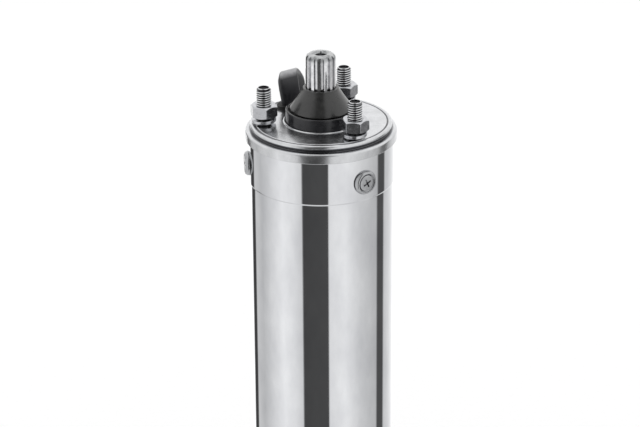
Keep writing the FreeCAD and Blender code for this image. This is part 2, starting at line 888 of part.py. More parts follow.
def seal_face():
    """Turning carbon face on its rubber sleeve."""
    face_top, spring_top, _ = seal_levels()
    shaft = D["journal_diameter"] / 2 + D["fit_gap"] / 2
    face_low = face_top - D["seal_face_height"]
    return revolved(
        "seal_face",
        [
            (shaft, face_low - D["seal_sleeve_height"]),
            (D["seal_sleeve_radius"], face_low - D["seal_sleeve_height"]),
            (D["seal_sleeve_radius"], face_low),
            (D["seal_face_radius"], face_low),
            (D["seal_face_radius"], face_top),
            (shaft, face_top),
        ],
    )


def coil_spring(label, radius, wire, low, high, turns):
    """An open coil spring between two levels."""
    body = new_body(label)
    section = circle(new_sketch(body, "XZ_Plane"), wire / 2, across=radius, up=low + wire / 2)
    helix(body, section, (high - low - wire) / turns, turns)
    return body


def seal_spring():
    _, spring_top, spring_low = seal_levels()
    wire = D["seal_spring_wire"]
    return coil_spring(
        "seal_spring",
        D["seal_spring_radius"],
        wire,
        spring_low,
        spring_top,
        D["seal_spring_turns"],
    )


def seal_collar():
    """Ring on the shaft that the seal's spring pushes from."""
    _, _, spring_low = seal_levels()
    top = spring_low - D["fit_gap"]
    shaft = D["journal_diameter"] / 2 + D["fit_gap"] / 2
    return revolved(
        "seal_collar",
        box_points(shaft, top - 2 * D["seal_collar_height"], D["seal_collar_radius"], top),
    )


def sand_slinger():
    """Rubber cone on the shaft that throws sand off the seal."""
    base, top = PLATE + D["slinger_base_height"], PLATE + D["slinger_height"]
    lip, wall, hub = D["slinger_lip"], D["slinger_wall"], D["slinger_hub_radius"]
    shaft = D["journal_diameter"] / 2 + D["fit_gap"] / 2
    return revolved(
        "sand_slinger",
        [
            (shaft, PLATE + D["slinger_hub_height"]),
            (hub, PLATE + D["slinger_hub_height"]),
            (hub, base + D["slinger_hub_rise"]),
            (D["slinger_base_radius"] - wall, base - lip),
            (D["slinger_base_radius"], base - lip),
            (D["slinger_base_radius"], base),
            (D["slinger_top_radius"], top - D["slinger_top_round"]),
            (
                D["slinger_top_radius"] - D["slinger_top_round"],
                top,
                D["slinger_top_round"],
            ),
            (shaft, top),
        ],
    )


def motor_shaft():
    """One-piece shaft: lower journal, rotor seat, upper journals and the splined end."""
    top = PLATE + D["shaft_height"]
    spline, crown = D["spline_od"] / 2, D["shaft_crown"]
    seal_journal, rotor_seat = D["journal_diameter"] / 2, D["rotor_seat_diameter"] / 2
    upper, lower = D["upper_bearing_bore"] / 2, D["lower_bearing_bore"] / 2
    spline_low = top - D["spline_length"]
    upper_top = PLATE - D["upper_bearing_drop"]
    upper_low = upper_top - D["upper_bearing_width"]
    lower_top = D["lower_bearing_level"] + D["lower_bearing_width"]
    groove, clip, gap = D["circlip_groove"], D["circlip_thick"], D["fit_gap"]
    foot = D["shaft_foot_level"]
    clip_low = D["lower_bearing_level"] - gap - clip - gap
    clip_high = upper_top + gap
    hole, depth = D["centre_hole"] / 2, D["centre_hole_depth"]
    points = [
        (0, foot),
        (lower - D["shaft_chamfer"], foot),
        (lower, foot + D["shaft_chamfer"]),
        (lower, clip_low),
        (lower - groove, clip_low),
        (lower - groove, clip_low + clip + 2 * gap),
        (lower, clip_low + clip + 2 * gap),
        (lower, lower_top),
        (rotor_seat, lower_top),
        (rotor_seat, upper_low),
        (upper, upper_low),
        (upper, clip_high),
        (upper - groove, clip_high),
        (upper - groove, clip_high + clip + 2 * gap),
        (upper, clip_high + clip + 2 * gap),
        (upper, clip_high + 2 * clip),
        (seal_journal, clip_high + 2 * clip + D["journal_step"]),
        (seal_journal, spline_low),
        (spline, spline_low),
        (spline, top - crown),
        (spline - crown, top, crown),
        (hole, top),
        (hole, top - depth),
        (0, top - depth - D["centre_cone"]),
    ]
    body = revolved("motor_shaft", points)
    DOC.recompute()
    root = spline - D["spline_depth"]
    mouth, floor, past = D["flute_mouth"] / 2, D["flute_floor"] / 2, D["cut_past"]
    flute = new_sketch(body, "XY_Plane", up=top)
    outline(
        flute,
        [
            (root, -floor),
            (spline, -mouth),
            (spline + past, -mouth),
            (spline + past, mouth),
            (spline, mouth),
            (root, floor),
        ],
    )
    repeated(body, pocket(body, flute, D["spline_length"]), D["spline_teeth"])
    return body


def shaft_circlips():
    """Open rings in the shaft's grooves, over the upper bearing and under the lower one."""
    clip, gap, reach = D["circlip_thick"], D["fit_gap"], D["circlip_reach"]
    groove = D["circlip_groove"]
    body = new_body("shaft_circlips")
    upper_low = PLATE - D["upper_bearing_drop"] + 2 * gap
    lower_low = D["lower_bearing_level"] - gap - clip
    for bore, low in (
        (D["upper_bearing_bore"], upper_low),
        (D["lower_bearing_bore"], lower_low),
    ):
        inner = bore / 2 - groove + gap
        section = box_points(inner, low, bore / 2 + reach, low + clip)
        made = turned_solid(body, outline(new_sketch(body, "XZ_Plane"), section))
        bind(made, "Angle", FULL_TURN - D["circlip_gap_angle"])
    return body


def bearing(prefix, level):
    """Inner ring, outer ring, ball cage and balls of a deep-groove ball bearing."""
    bore, outside = D[f"{prefix}_bearing_bore"] / 2, D[f"{prefix}_bearing_od"] / 2
    width, gap = D[f"{prefix}_bearing_width"], D["fit_gap"]
    pitch = (bore + outside) / 2
    ball = D["ball_share"] * (outside - bore) / 2
    track, land = ball + D["race_gap"], D["land_share"] * ball
    half_track = leg(track, land)
    middle, top = level + width / 2, level + width
    inner_points = [
        (bore + gap / 2, level),
        (pitch - land, level),
        (pitch - land, middle - half_track),
        (pitch - land, middle + half_track, -track),
        (pitch - land, top),
        (bore + gap / 2, top),
    ]
    outer_points = [
        (pitch + land, level),
        (outside, level),
        (outside, top),
        (pitch + land, top),
        (pitch + land, middle + half_track),
        (pitch + land, middle - half_track, -track),
    ]
    revolved(f"{prefix}_bearing_inner_ring", inner_points)
    revolved(f"{prefix}_bearing_outer_ring", outer_points)
    cage_half = ball + D["cage_margin"]
    thick = D["cage_share"] * ball / 2
    cage = revolved(
        f"{prefix}_bearing_cage",
        box_points(pitch - thick, middle - cage_half, pitch + thick, middle + cage_half),
    )
    radial_holes(cage, middle, 4 * thick, pitch + thick, track, D["ball_count"])
    ring_of_balls(new_body(f"{prefix}_bearing_balls"), ball, pitch, middle)


def ring_of_balls(body, radius, pitch, level):
    ball = body.newObject("PartDesign::AdditiveSphere", "AdditiveSphere")
    ball.Radius = bind(ball, "Radius", radius)
    ball.AttachmentSupport = (origin_part(body, "XY_Plane"), [""])
    ball.MapMode = "FlatFace"
    ball.AttachmentOffset = FreeCAD.Placement(
        FreeCAD.Vector(pitch.value, 0, level.value), FreeCAD.Rotation()
    )
    ball.setExpression("AttachmentOffset.Base.x", pitch.formula)
    ball.setExpression("AttachmentOffset.Base.z", level.formula)
    repeated(body, ball, D["ball_count"])


def preload_washer():
    """Disc spring that presses the upper bearing's outer ring down."""
    low, height, thick = (
        PLATE - D["upper_bearing_drop"] + D["fit_gap"],
        D["disc_spring_height"] - 2 * D["fit_gap"],
        D["disc_spring_thick"],
    )
    outside = D["upper_bearing_od"] / 2
    inner, outer = outside - D["disc_spring_reach"], outside - D["loose_gap"]
    return revolved(
        "preload_washer",
        [
            (outer, low),
            (outer, low + thick),
            (inner, low + height),
            (inner, low + height - thick),
        ],
    )


def bearing_circlip():
    """Ring in the lower bell's bore that keeps the lower bearing in."""
    outside = D["lower_bearing_od"] / 2
    low = D["lower_bearing_level"] + D["lower_bearing_width"] + D["fit_gap"]
    outer = outside + D["housing_circlip_groove"] - D["fit_gap"]
    inner = outside - D["housing_circlip_reach"]
    body = new_body("bearing_circlip")
    points = box_points(inner, low, outer, low + D["housing_circlip_thick"])
    made = turned_solid(body, outline(new_sketch(body, "XZ_Plane"), points))
    bind(made, "Angle", FULL_TURN - D["circlip_gap_angle"])
    return body


def slot_points(inset, bottom_inset):
    """Half-closed stator slot from its mouth in the bore outwards, drawn in by an inset."""
    bore = D["stator_bore"] / 2
    mouth, neck, wide = (
        D["slot_mouth"] / 2,
        D["slot_neck_width"] / 2,
        D["slot_width"] / 2,
    )
    neck_at = bore + D["slot_neck_depth"]
    bottom = LOWER_SPIGOT - D["yoke_width"]
    if inset is None:
        mouth_end = bore + D["slot_mouth_depth"]
        return [
            (bore - D["cut_past"], -mouth),
            (mouth_end, -mouth),
            (neck_at, -neck),
            (bottom, -wide),
            (bottom, wide),
            (neck_at, neck),
            (mouth_end, mouth),
            (bore - D["cut_past"], mouth),
        ]
    return [
        (neck_at + inset, -neck + inset),
        (bottom - bottom_inset, -wide + inset),
        (bottom - bottom_inset, wide - inset),
        (neck_at + inset, neck - inset),
    ]


def stator_core():
    """Stack of laminations with half-closed slots open to the bore."""
    level, length = D["core_level"], D["core_length"]
    body = revolved(
        "stator_core",
        box_points(D["stator_bore"] / 2, level, LOWER_SPIGOT, level + length),
    )
    DOC.recompute()
    slot = new_sketch(body, "XY_Plane", up=level + length)
    outline(slot, slot_points(None, None))
    repeated(body, pocket(body, slot, length), D["slot_count"])
    return body


def stator_winding():
    """Coils in every slot, joined by a bundle of end turns above and below the core."""
    level, length, gap = D["core_level"], D["core_length"], D["coil_gap"]
    inner = D["stator_bore"] / 2 + D["end_turn_bore_gap"]
    outer = LOWER_SPIGOT - D["end_turn_wall_gap"]
    round_off, height = D["end_turn_round"], D["end_turn_height"]
    body = new_body("stator_winding")
    top = level + length + gap
    upper = [
        (inner, top),
        (outer, top),
        (outer, top + height - round_off),
        (outer - round_off, top + height, round_off),
        (inner + round_off, top + height),
        (inner, top + height - round_off, round_off),
    ]
    turned_solid(body, outline(new_sketch(body, "XZ_Plane"), upper))
    DOC.recompute()
    bars = new_sketch(body, "XY_Plane", up=level - 2 * gap)
    outline(bars, slot_points(gap, gap))
    repeated(body, pad(body, bars, length + 4 * gap), D["slot_count"])
    DOC.recompute()
    low = level - gap
    lower = [
        (inner, low),
        (inner, low - height + round_off),
        (inner + round_off, low - height, round_off),
        (outer - round_off, low - height),
        (outer, low - height + round_off, round_off),
        (outer, low),
    ]
    turned_solid(body, outline(new_sketch(body, "XZ_Plane"), lower))
    return body


def rotor_core():
    """Rotor laminations pressed on the shaft, with closed slots for the cage bars."""
    level, length = D["core_level"], D["core_length"]
    inner = D["rotor_seat_diameter"] / 2 + D["fit_gap"] / 2
    body = revolved("rotor_core", box_points(inner, level, D["rotor_od"] / 2, level + length))
    DOC.recompute()
    hole = circle(
        new_sketch(body, "XY_Plane", up=level + length),
        D["bar_diameter"] / 2 + D["fit_gap"],
        across=D["bar_circle"] / 2,
    )
    repeated(body, pocket(body, hole, length), D["bar_count"])
    return body


def rotor_cage():
    """Cast cage: a bar in every rotor slot and a short-circuit ring at each end."""
    level, length, gap = D["core_level"], D["core_length"], D["fit_gap"]
    inner, outer, height = D["end_ring_inner"], D["end_ring_outer"], D["end_ring_height"]
    body = new_body("rotor_cage")
    top = level + length + gap
    turned_solid(
        body,
        outline(new_sketch(body, "XZ_Plane"), box_points(inner, top, outer, top + height)),
    )
    DOC.recompute()
    bar = circle(
        new_sketch(body, "XY_Plane", up=level - 2 * gap),
        D["bar_diameter"] / 2,
        across=D["bar_circle"] / 2,
    )
    repeated(body, pad(body, bar, length + 4 * gap), D["bar_count"])
    DOC.recompute()
    low = level - gap
    turned_solid(
        body,
        outline(new_sketch(body, "XZ_Plane"), box_points(inner, low - height, outer, low)),
    )
    return body


def lower_end_bell():
    """Cast lower end bell: diaphragm chamber, oil passage, sump and bearing cup."""
    gap = D["fit_gap"]
    low = D["foot_height"] + D["rim_gasket"]
    spigot, spigot_top = LOWER_SPIGOT, D["lower_spigot_level"]
    outside = D["lower_bearing_od"] / 2
    hub, shoulder = outside + D["hub_wall"], outside - D["bearing_shoulder"]
    seat = D["lower_bearing_od"] / 2 + gap / 2
    ring_low = D["lower_ring_level"] - D["ring_groove_width"] / 2
    ring_floor = spigot - D["ring_section"] - gap
    clip_low = D["lower_bearing_level"] + D["lower_bearing_width"]
    clip_high = clip_low + D["housing_circlip_thick"] + 2 * gap
    clip_floor = D["lower_bearing_od"] / 2 + D["housing_circlip_groove"]
    points = [
        (CHAMBER_RADIUS, low),
        (spigot, low),
        (spigot, ring_low),
        (ring_floor, ring_low),
        (ring_floor, ring_low + D["ring_groove_width"]),
        (spigot, ring_low + D["ring_groove_width"]),
        (spigot, spigot_top - D["bell_chamfer"]),
        (spigot - D["bell_chamfer"], spigot_top),
        (hub, spigot_top + D["lower_hub_slope"]),
        (hub, D["lower_hub_level"]),
        (seat, D["lower_hub_level"]),
        (seat, clip_high),
        (clip_floor, clip_high),
        (clip_floor, clip_low),
        (seat, clip_low),
        (seat, D["lower_bearing_level"]),
        (shoulder, D["lower_bearing_level"]),
        (shoulder, D["oil_sump_level"]),
        (D["oil_passage_radius"], D["oil_sump_level"]),
        (D["oil_passage_radius"], D["chamber_level"]),
        (CHAMBER_RADIUS, D["chamber_level"]),
    ]
    body = new_body("lower_end_bell", turned=True)
    turned_solid(body, outline(new_sketch(body, "XZ_Plane"), points))
    screw_hole_depth = spigot - TUBE_RADIUS + D["screw_length"] + D["screw_hole_spare"] / 2
    radial_holes(body, D["lower_screw_level"], screw_hole_depth, spigot)
    between = FULL_TURN / 2 / D["fastener_count"]
    sketch = foot_screw_sketch(body, low, D["foot_screw_diameter"] / 2 + gap, between)
    reach = D["foot_screw_reach"] - low + D["screw_hole_spare"]
    repeated(body, pocket(body, sketch, reach, towards_normal=True), D["fastener_count"])
    return body


def foot_screw_sketch(body, level, radius, turn=0):
    """A circle on the foot screws' circle, whose first screw stands on the motor's +X."""
    sketch = new_sketch(
        body, "XY_Plane", across=FOOT_SCREW_RADIUS, up=level, turn=turn
    )
    return circle(sketch, radius)


def foot_cover():
    """Foot of the motor, with the well-water side of the diaphragm and its breather."""
    outer, height, chamfer = FOOT_RADIUS, D["foot_height"], D["foot_chamfer"]
    floor = D["foot_recess_level"]
    points = [
        (0, 0),
        (outer - chamfer, 0),
        (outer, chamfer),
        (outer, height),
        (FOOT_RECESS, height),
        (FOOT_RECESS, floor),
        (D["spring_boss_radius"], floor),
        (D["spring_boss_radius"], floor + D["spring_boss_height"]),
        (0, floor + D["spring_boss_height"]),
    ]
    body = new_body("foot_cover")
    turned_solid(body, outline(new_sketch(body, "XZ_Plane"), points))
    gap = D["fit_gap"]
    shank = foot_screw_sketch(body, 0, D["foot_screw_diameter"] / 2 + 2 * gap)
    repeated(
        body,
        pocket(body, shank, height + D["cut_past"], towards_normal=True),
        D["fastener_count"],
    )
    DOC.recompute()
    breathers = new_sketch(body, "XY_Plane", across=D["breather_circle"] / 2)
    circle(breathers, D["breather_radius"])
    repeated(
        body, pocket(body, breathers, height, towards_normal=True), D["fastener_count"]
    )
    DOC.recompute()
    head = D["foot_screw_head"] / 2 + 2 * gap
    sink = new_sketch(body, "XZ_Plane", across=FOOT_SCREW_RADIUS)
    depth = head + D["foot_screw_sink"]
    below = -D["cut_past"]
    outline(sink, [(0, below), (head, below), (head, D["foot_screw_sink"]), (0, depth)])
    cut = turned_solid(body, sink, kind="Groove")
    repeated(body, cut, D["fastener_count"])
    return body


def foot_screws():
    """Countersunk screws, heads just inside the foot's face."""
    shank, head = D["foot_screw_diameter"] / 2, D["foot_screw_head"] / 2
    low, reach = D["foot_screw_sink"], D["foot_screw_reach"]
    points = [
        (0, low),
        (head, low),
        (shank, low + head - shank),
        (shank, reach),
        (0, reach),
    ]
    body = new_body("foot_screws")
    sketch = new_sketch(body, "XZ_Plane", across=FOOT_SCREW_RADIUS)
    repeated(body, turned_solid(body, outline(sketch, points)), D["fastener_count"])
    return body


def diaphragm():
    """Rubber top-hat diaphragm, its rim clamped between the foot and the lower bell."""
    gap, wall = D["fit_gap"], D["diaphragm_wall"]
    rim = LOWER_SPIGOT - D["diaphragm_rim_gap"]
    low, high = D["foot_height"] + gap, D["foot_height"] + D["rim_gasket"] - gap
    outer, inner = DIAPHRAGM_OUTER, DIAPHRAGM_INNER
    floor = D["diaphragm_floor_level"]
    points = [
        (0, floor),
        (inner - wall, floor),
        (outer - wall, low),
        (rim, low),
        (rim, high),
        (outer, high),
        (inner, floor + wall),
        (0, floor + wall),
    ]
    body = new_body("diaphragm")
    turned_solid(body, outline(new_sketch(body, "XZ_Plane"), points))
    hole = foot_screw_sketch(body, low, D["foot_screw_diameter"] / 2 + D["loose_gap"])
    repeated(
        body, pocket(body, hole, D["rim_gasket"], towards_normal=True), D["fastener_count"]
    )
    return body


def diaphragm_plate():
    """Pressed plate under the diaphragm's middle, centred on its spring."""
    top = D["diaphragm_floor_level"] - D["fit_gap"]
    low, radius = top - D["plate_disc_thick"], DIAPHRAGM_INNER - D["plate_disc_gap"]
    thick = D["plate_disc_thick"]
    return revolved(
        "diaphragm_plate",
        [
            (0, low),
            (0, low - D["plate_boss_height"]),
            (D["plate_boss_radius"], low - D["plate_boss_height"]),
            (D["plate_boss_radius"], low),
            (radius - thick, low),
            (radius - thick, low - D["plate_rim_height"]),
            (radius, low - D["plate_rim_height"]),
            (radius, top),
            (0, top),
        ],
    )


def diaphragm_spring():
    low = D["foot_recess_level"] + D["fit_gap"]
    high = D["diaphragm_floor_level"] - D["plate_disc_thick"] - 2 * D["fit_gap"]
    return coil_spring(
        "diaphragm_spring",
        D["return_spring_radius"],
        D["return_spring_wire"],
        low,
        high,
        D["return_spring_turns"],
    )


def lead_gland():
    """Rubber grommet that the flat lead comes out of, pressed into the cover and bell."""
    gap = D["fit_gap"]
    body = new_body("lead_gland", turned=True)
    length, width = D["gland_length"] - 2 * gap, D["gland_width"] - 2 * gap
    base = lead_slot(body, PLATE - D["gland_depth"], length, width)
    pad(body, base, D["gland_depth"] + D["gland_height"])
    return body


def inner_leads():
    """Wires from the gland down to the end turns."""
    body = new_body("inner_leads", turned=True)
    between = FULL_TURN / 2 / D["fastener_count"]
    winding_top = D["core_level"] + D["core_length"] + D["coil_gap"] + D["end_turn_height"]
    top = PLATE - D["gland_depth"] - D["fit_gap"]
    length = top - winding_top - D["fit_gap"]
    count = int(D["inner_wire_count"].value)
    for k in range(count):
        sketch = new_sketch(
            body,
            "XY_Plane",
            across=LEAD_RADIUS,
            up=winding_top + D["fit_gap"],
            turn=between,
        )
        offset = D["inner_wire_pitch"] * (k - (count - 1) / 2)
        circle(sketch, D["inner_wire_radius"], up=offset)
        pad(body, sketch, length)
    return body


def rounded_path(points):
    """Straight runs joined by tangent arcs, with the arcs' radii printed."""
    share = 0.45
    corners = [FreeCAD.Vector(*p) for p in points]
    edges, start, radii = [], corners[0], []
    for before, corner, after in zip(corners, corners[1:], corners[2:]):
        back, ahead = (before - corner), (after - corner)
        shorter = min(back.Length, ahead.Length)
        back.normalize()
        ahead.normalize()
        turn = math.pi - back.getAngle(ahead)
        reach = share * shorter
        radius = reach / math.tan(turn / 2)
        first, last = corner + back * reach, corner + ahead * reach
        bisector = (back + ahead).normalize()
        centre = corner + bisector * (radius / math.cos(turn / 2))
        middle = centre - bisector * radius
        edges.append(Part.LineSegment(start, first).toShape())
        edges.append(Part.Arc(first, middle, last).toShape())
        start = last
        radii.append(round(radius, 1))
    edges.append(Part.LineSegment(start, corners[-1]).toShape())
    print("lead bend radii", radii)
    return Part.Wire(edges)


def shape_part(label, shape):
    part = DOC.addObject("Part::Feature", label)
    part.Label = label
    part.Shape = shape
    part.Placement = FreeCAD.Placement()
    TURNED[label] = False
    return part


def lead_route():
    """Straight up out of the gland, over in a tight fold and down behind the motor."""
    bearing = math.radians(D["stud_azimuth"].value * 2)
    across = LEAD_RADIUS.value * math.cos(bearing)
    back = LEAD_RADIUS.value * math.sin(bearing)
    plate, rise = PLATE.value, D["fold_rise"].value
    aside, reach, lift = (D[f"fold_{name}"].value for name in ("aside", "reach", "lift"))
    route = [
        (across, back, plate + D["gland_height"].value),
        (across, back, plate + rise),
        (across + aside, back + reach, plate + rise + lift),
    ]
    edge = COVER_RADIUS.value
    return route + [(x, edge + outside, plate * share) for x, outside, share in LEAD_RUN]


def lead_tube():
    """The lead from its gland to the coil, as a round tube of the flat lead's own section."""
    route = lead_route()
    path = rounded_path(route)
    print("lead route", [tuple(round(c, 2) for c in point) for point in route])
    start = FreeCAD.Vector(*route[0])
    along = FreeCAD.Vector(*route[1]) - start
    radius = D["lead_diameter"].value / 2
    section = Part.Wire([Part.Circle(start, along, radius).toShape()])
    tube = path.makePipeShell([section], True, False)
    swept, wanted = tube.Volume, math.pi * radius**2 * path.Length
    print("lead tube", round(path.Length, 1), "mm, volume", round(swept), "of", round(wanted))
    return shape_part("lead_tube", tube)


def lead_coil():
    """The rest of the lead, wound on edge in a round coil on the floor."""
    middle, half = D["coil_middle_radius"], D["coil_thick"] / 2
    body = new_body("lead_coil")
    points = box_points(middle - half, 0, middle + half, D["lead_width"])
    turned_solid(body, outline(new_sketch(body, "XZ_Plane"), points))
    body.Placement = FreeCAD.Placement(FreeCAD.Vector(*COIL_CENTRE, 0), FreeCAD.Rotation())
    return body


def wire_ends():
    """The lead's cores, fanned out from its end, and the ferrules crimped on them."""
    count = int(D["core_count"].value)
    wire, length = D["core_wire_radius"].value, D["core_wire_length"].value
    collar, pin = D["ferrule_collar"].value, D["ferrule_pin_radius"].value
    wires, ferrules = [], []
    for k in range(count):
        heading = math.radians(CORES_HEADING + CORES_FAN * k)
        along = FreeCAD.Vector(math.cos(heading), math.sin(heading), 0)
        height = D["core_foot"].value + D["core_wire_pitch"].value * k
        start = FreeCAD.Vector(*CORES_START, height)
        wires.append(Part.makeCylinder(wire, length, start, along))
        end = start + along * (length + D["fit_gap"].value)
        cap = Part.makeCylinder(D["ferrule_radius"].value, collar, end, along)
        tip = Part.makeCylinder(pin, D["ferrule_length"].value, end, along)
        ferrules.append(cap.fuse(tip).removeSplitter())
    shape_part("lead_cores", Part.makeCompound(wires))
    shape_part("core_ferrules", Part.makeCompound(ferrules))


def check_and_write():
    """Stops on any failed feature, then writes each piece to its own file."""
    DOC.recompute()
    failed = [
        f"{thing.Name} of {[user.Label for user in thing.InList]}: {thing.State}"
        for thing in DOC.Objects
        if "Invalid" in thing.State or "Error" in thing.State
    ]
    if failed:
        raise RuntimeError("\n".join(failed))
    os.makedirs("parts", exist_ok=True)
    for label in TURNED:
        piece = DOC.getObjectsByLabel(label)[0]
        shape = piece.Shape
        if shape.isNull() or not shape.isValid() or not shape.Solids:
            raise RuntimeError(f"{label} has no valid solid")
        shape.exportStep(f"parts/{label}.step")
        print(f"{label}: {len(shape.Solids)} solids, {shape.Volume / 1000:.2f} cm3")


def turn_pieces():
    """Turns the pieces drawn with their fasteners on +X to the studs' azimuth."""
    for label, turned in TURNED.items():
        if turned:
            piece = DOC.getObjectsByLabel(label)[0]
            spin = FreeCAD.Rotation(FreeCAD.Vector(0, 0, 1), D["stud_azimuth"].value)
            piece.Placement = FreeCAD.Placement(FreeCAD.Vector(), spin)
            piece.setExpression("Placement.Rotation.Angle", "Sizes.stud_azimuth * 1 deg")


def main():
    upper_screws_at, lower_screws_at = PLATE - D["screw_drop"], D["lower_screw_level"]
    top_cover()
    upper_end_bell()
    motor_tube()
    pump_studs()
    stud_nuts()
    stud_spring_washers()
    radial_screws("upper_screws", upper_screws_at, BAND_RADIUS)
    cup_washers("upper_cup_washers", upper_screws_at, BAND_RADIUS)
    radial_screws("lower_screws", lower_screws_at, TUBE_RADIUS)
    cup_washers("lower_cup_washers", lower_screws_at, TUBE_RADIUS)
    o_ring("upper_o_ring", PLATE - D["upper_ring_drop"], UPPER_SPIGOT)
    o_ring("lower_o_ring", D["lower_ring_level"], LOWER_SPIGOT)
    seal_housing()
    lip_seal()
    seal_seat()
    seal_face()
    seal_spring()
    seal_collar()
    sand_slinger()
    motor_shaft()
    shaft_circlips()
    bearing("upper", PLATE - D["upper_bearing_drop"] - D["upper_bearing_width"])
    bearing("lower", D["lower_bearing_level"])
    preload_washer()
    bearing_circlip()
    stator_core()
    stator_winding()
    rotor_core()
    rotor_cage()
    lower_end_bell()
    foot_cover()
    foot_screws()
    diaphragm()
    diaphragm_plate()
    diaphragm_spring()
    lead_gland()
    inner_leads()
    lead_tube()
    lead_coil()
    wire_ends()
    turn_pieces()
    check_and_write()


main()
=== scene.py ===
import math

import bmesh
import bpy
from mathutils import Matrix, Vector


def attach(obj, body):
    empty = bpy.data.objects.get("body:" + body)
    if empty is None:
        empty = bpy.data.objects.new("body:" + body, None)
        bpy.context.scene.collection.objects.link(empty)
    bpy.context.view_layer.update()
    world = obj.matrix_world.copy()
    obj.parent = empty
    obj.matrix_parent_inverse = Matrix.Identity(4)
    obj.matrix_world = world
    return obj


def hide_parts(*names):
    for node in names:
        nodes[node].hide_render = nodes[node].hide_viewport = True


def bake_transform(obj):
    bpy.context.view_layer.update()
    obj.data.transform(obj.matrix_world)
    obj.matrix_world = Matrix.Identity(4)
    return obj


# Motor of a borehole submersible pump. Sizes are in millimetres and heights are counted from
# the foot; every mesh is brought to the frame's metres when it is made into a piece. The route
# of the lead and the blends are given in metres.

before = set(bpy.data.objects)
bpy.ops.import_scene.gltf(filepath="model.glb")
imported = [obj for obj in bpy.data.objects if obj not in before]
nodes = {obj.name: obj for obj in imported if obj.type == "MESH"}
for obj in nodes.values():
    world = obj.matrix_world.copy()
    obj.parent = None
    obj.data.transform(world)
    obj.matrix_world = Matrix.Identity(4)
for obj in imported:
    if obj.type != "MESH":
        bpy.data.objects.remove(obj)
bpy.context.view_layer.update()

MM = 0.001
PLATE = 360.0
TUBE_RADIUS = 38.0
BAND_RADIUS = 38.5

# Bearings are in degrees about the shaft. Studs and radial screws share three of them.
THIRDS = (60, 180, 300)
LEAD_BEARING = 120
STUD_RADIUS = 30.0
UPPER_SCREWS = PLATE - 22.4
LOWER_SCREWS = 24.0
HEAD_HEIGHT = 2.2

# Each nut stopped at its own angle when it was tightened; the washers' splits face alike.
NUT_TURNS = (23, 6, 16)
SPLIT_BEARING = 75
TEETH = 14
CORES_WIDTH = 12


# How materials are made


def linear(shade):
    """An sRGB hex colour as Blender's linear red, green, blue and alpha."""
    parts = [int(shade[place : place + 2], 16) / 255 for place in (1, 3, 5)]
    return [c / 12.92 if c <= 0.04045 else ((c + 0.055) / 1.055) ** 2.4 for c in parts] + [1]


def add(tree, kind, settings=None, **inputs):
    """Adds a node; an input given as another node's output is linked, any other is its value."""
    node = tree.nodes.new("ShaderNode" + kind)
    for name, value in (settings or {}).items():
        setattr(node, name, value)
    for name, value in inputs.items():
        socket = node.inputs[int(name[1:]) if name[1:].isdigit() else name.replace("_", " ")]
        if isinstance(value, bpy.types.NodeSocket):
            tree.links.new(value, socket)
        else:
            socket.default_value = value
    return node


def finish_named(name, **shader):
    """A new material with its shader's own numbers, its tree and its Object coordinates."""
    finish = bpy.data.materials.new(name)
    finish.use_nodes = True
    tree = finish.node_tree
    surface = tree.nodes["Principled BSDF"]
    for socket, value in shader.items():
        surface.inputs[socket.replace("_", " ")].default_value = value
    place = add(tree, "TexCoord").outputs["Object"]
    return finish, tree, surface, place


def grain(tree, place, size, stretch=(1, 1, 1), detail=3.0, rough=0.6):
    """Noise whose grains are about size millimetres across, times stretch along each axis."""
    spread = add(tree, "Mapping", Vector=place, Scale=[1 / (size * MM * s) for s in stretch])
    return add(
        tree, "TexNoise", Vector=spread.outputs[0], Scale=1.0, Detail=detail, Roughness=rough
    ).outputs["Fac"]


def between(tree, fac, low, high, start=0.3, end=0.7):
    """Turns a pattern's start to end into numbers from low to high."""
    return add(
        tree,
        "MapRange",
        Value=fac,
        From_Min=start,
        From_Max=end,
        To_Min=low,
        To_Max=high,
    ).outputs["Result"]


def mixed(tree, share, first, second):
    """The first colour, going over to the second as share goes from 0 to 1."""
    return add(tree, "Mix", {"data_type": "RGBA"}, _0=share, _6=first, _7=second).outputs[2]


def reckoned(tree, operation, *values, clamp=False):
    """A sum worked out from its values at every point of the surface."""
    numbered = {f"_{place}": value for place, value in enumerate(values)}
    settings = {"operation": operation, "use_clamp": clamp}
    return add(tree, "Math", settings, **numbered).outputs[0]


def tints(tree, fac, *stops):
    """Colours along a pattern, as pairs of place and sRGB hex."""
    ramp = add(tree, "ValToRGB", Fac=fac)
    elements = ramp.color_ramp.elements
    while len(elements) < len(stops):
        elements.new(0.5)
    for element, (place, shade) in zip(elements, stops):
        element.position = place
        element.color = linear(shade)
    return ramp.outputs["Color"]


def relief(tree, surface, height, depth):
    """Bump whose full height is depth millimetres."""
    bump = add(tree, "Bump", Strength=1.0, Distance=depth * MM, Height=height)
    tree.links.new(bump.outputs[0], surface.inputs["Normal"])


def feed(tree, surface, **inputs):
    """Links patterns to the shader's sockets."""
    for socket, source in inputs.items():
        tree.links.new(source, surface.inputs[socket.replace("_", " ")])


def one_grain(name, grains, shades, rough, depth, **shader):
    """A material whose one grain carries its colour, its roughness and its relief. The grain is
    given as size, stretch and detail, the roughness as its lowest and highest."""
    finish, tree, surface, place = finish_named(name, **shader)
    pattern = grain(tree, place, *grains)
    feed(
        tree,
        surface,
        Base_Color=tints(tree, pattern, *shades),
        Roughness=between(tree, pattern, *rough),
    )
    relief(tree, surface, pattern, depth)
    return finish


# Materials


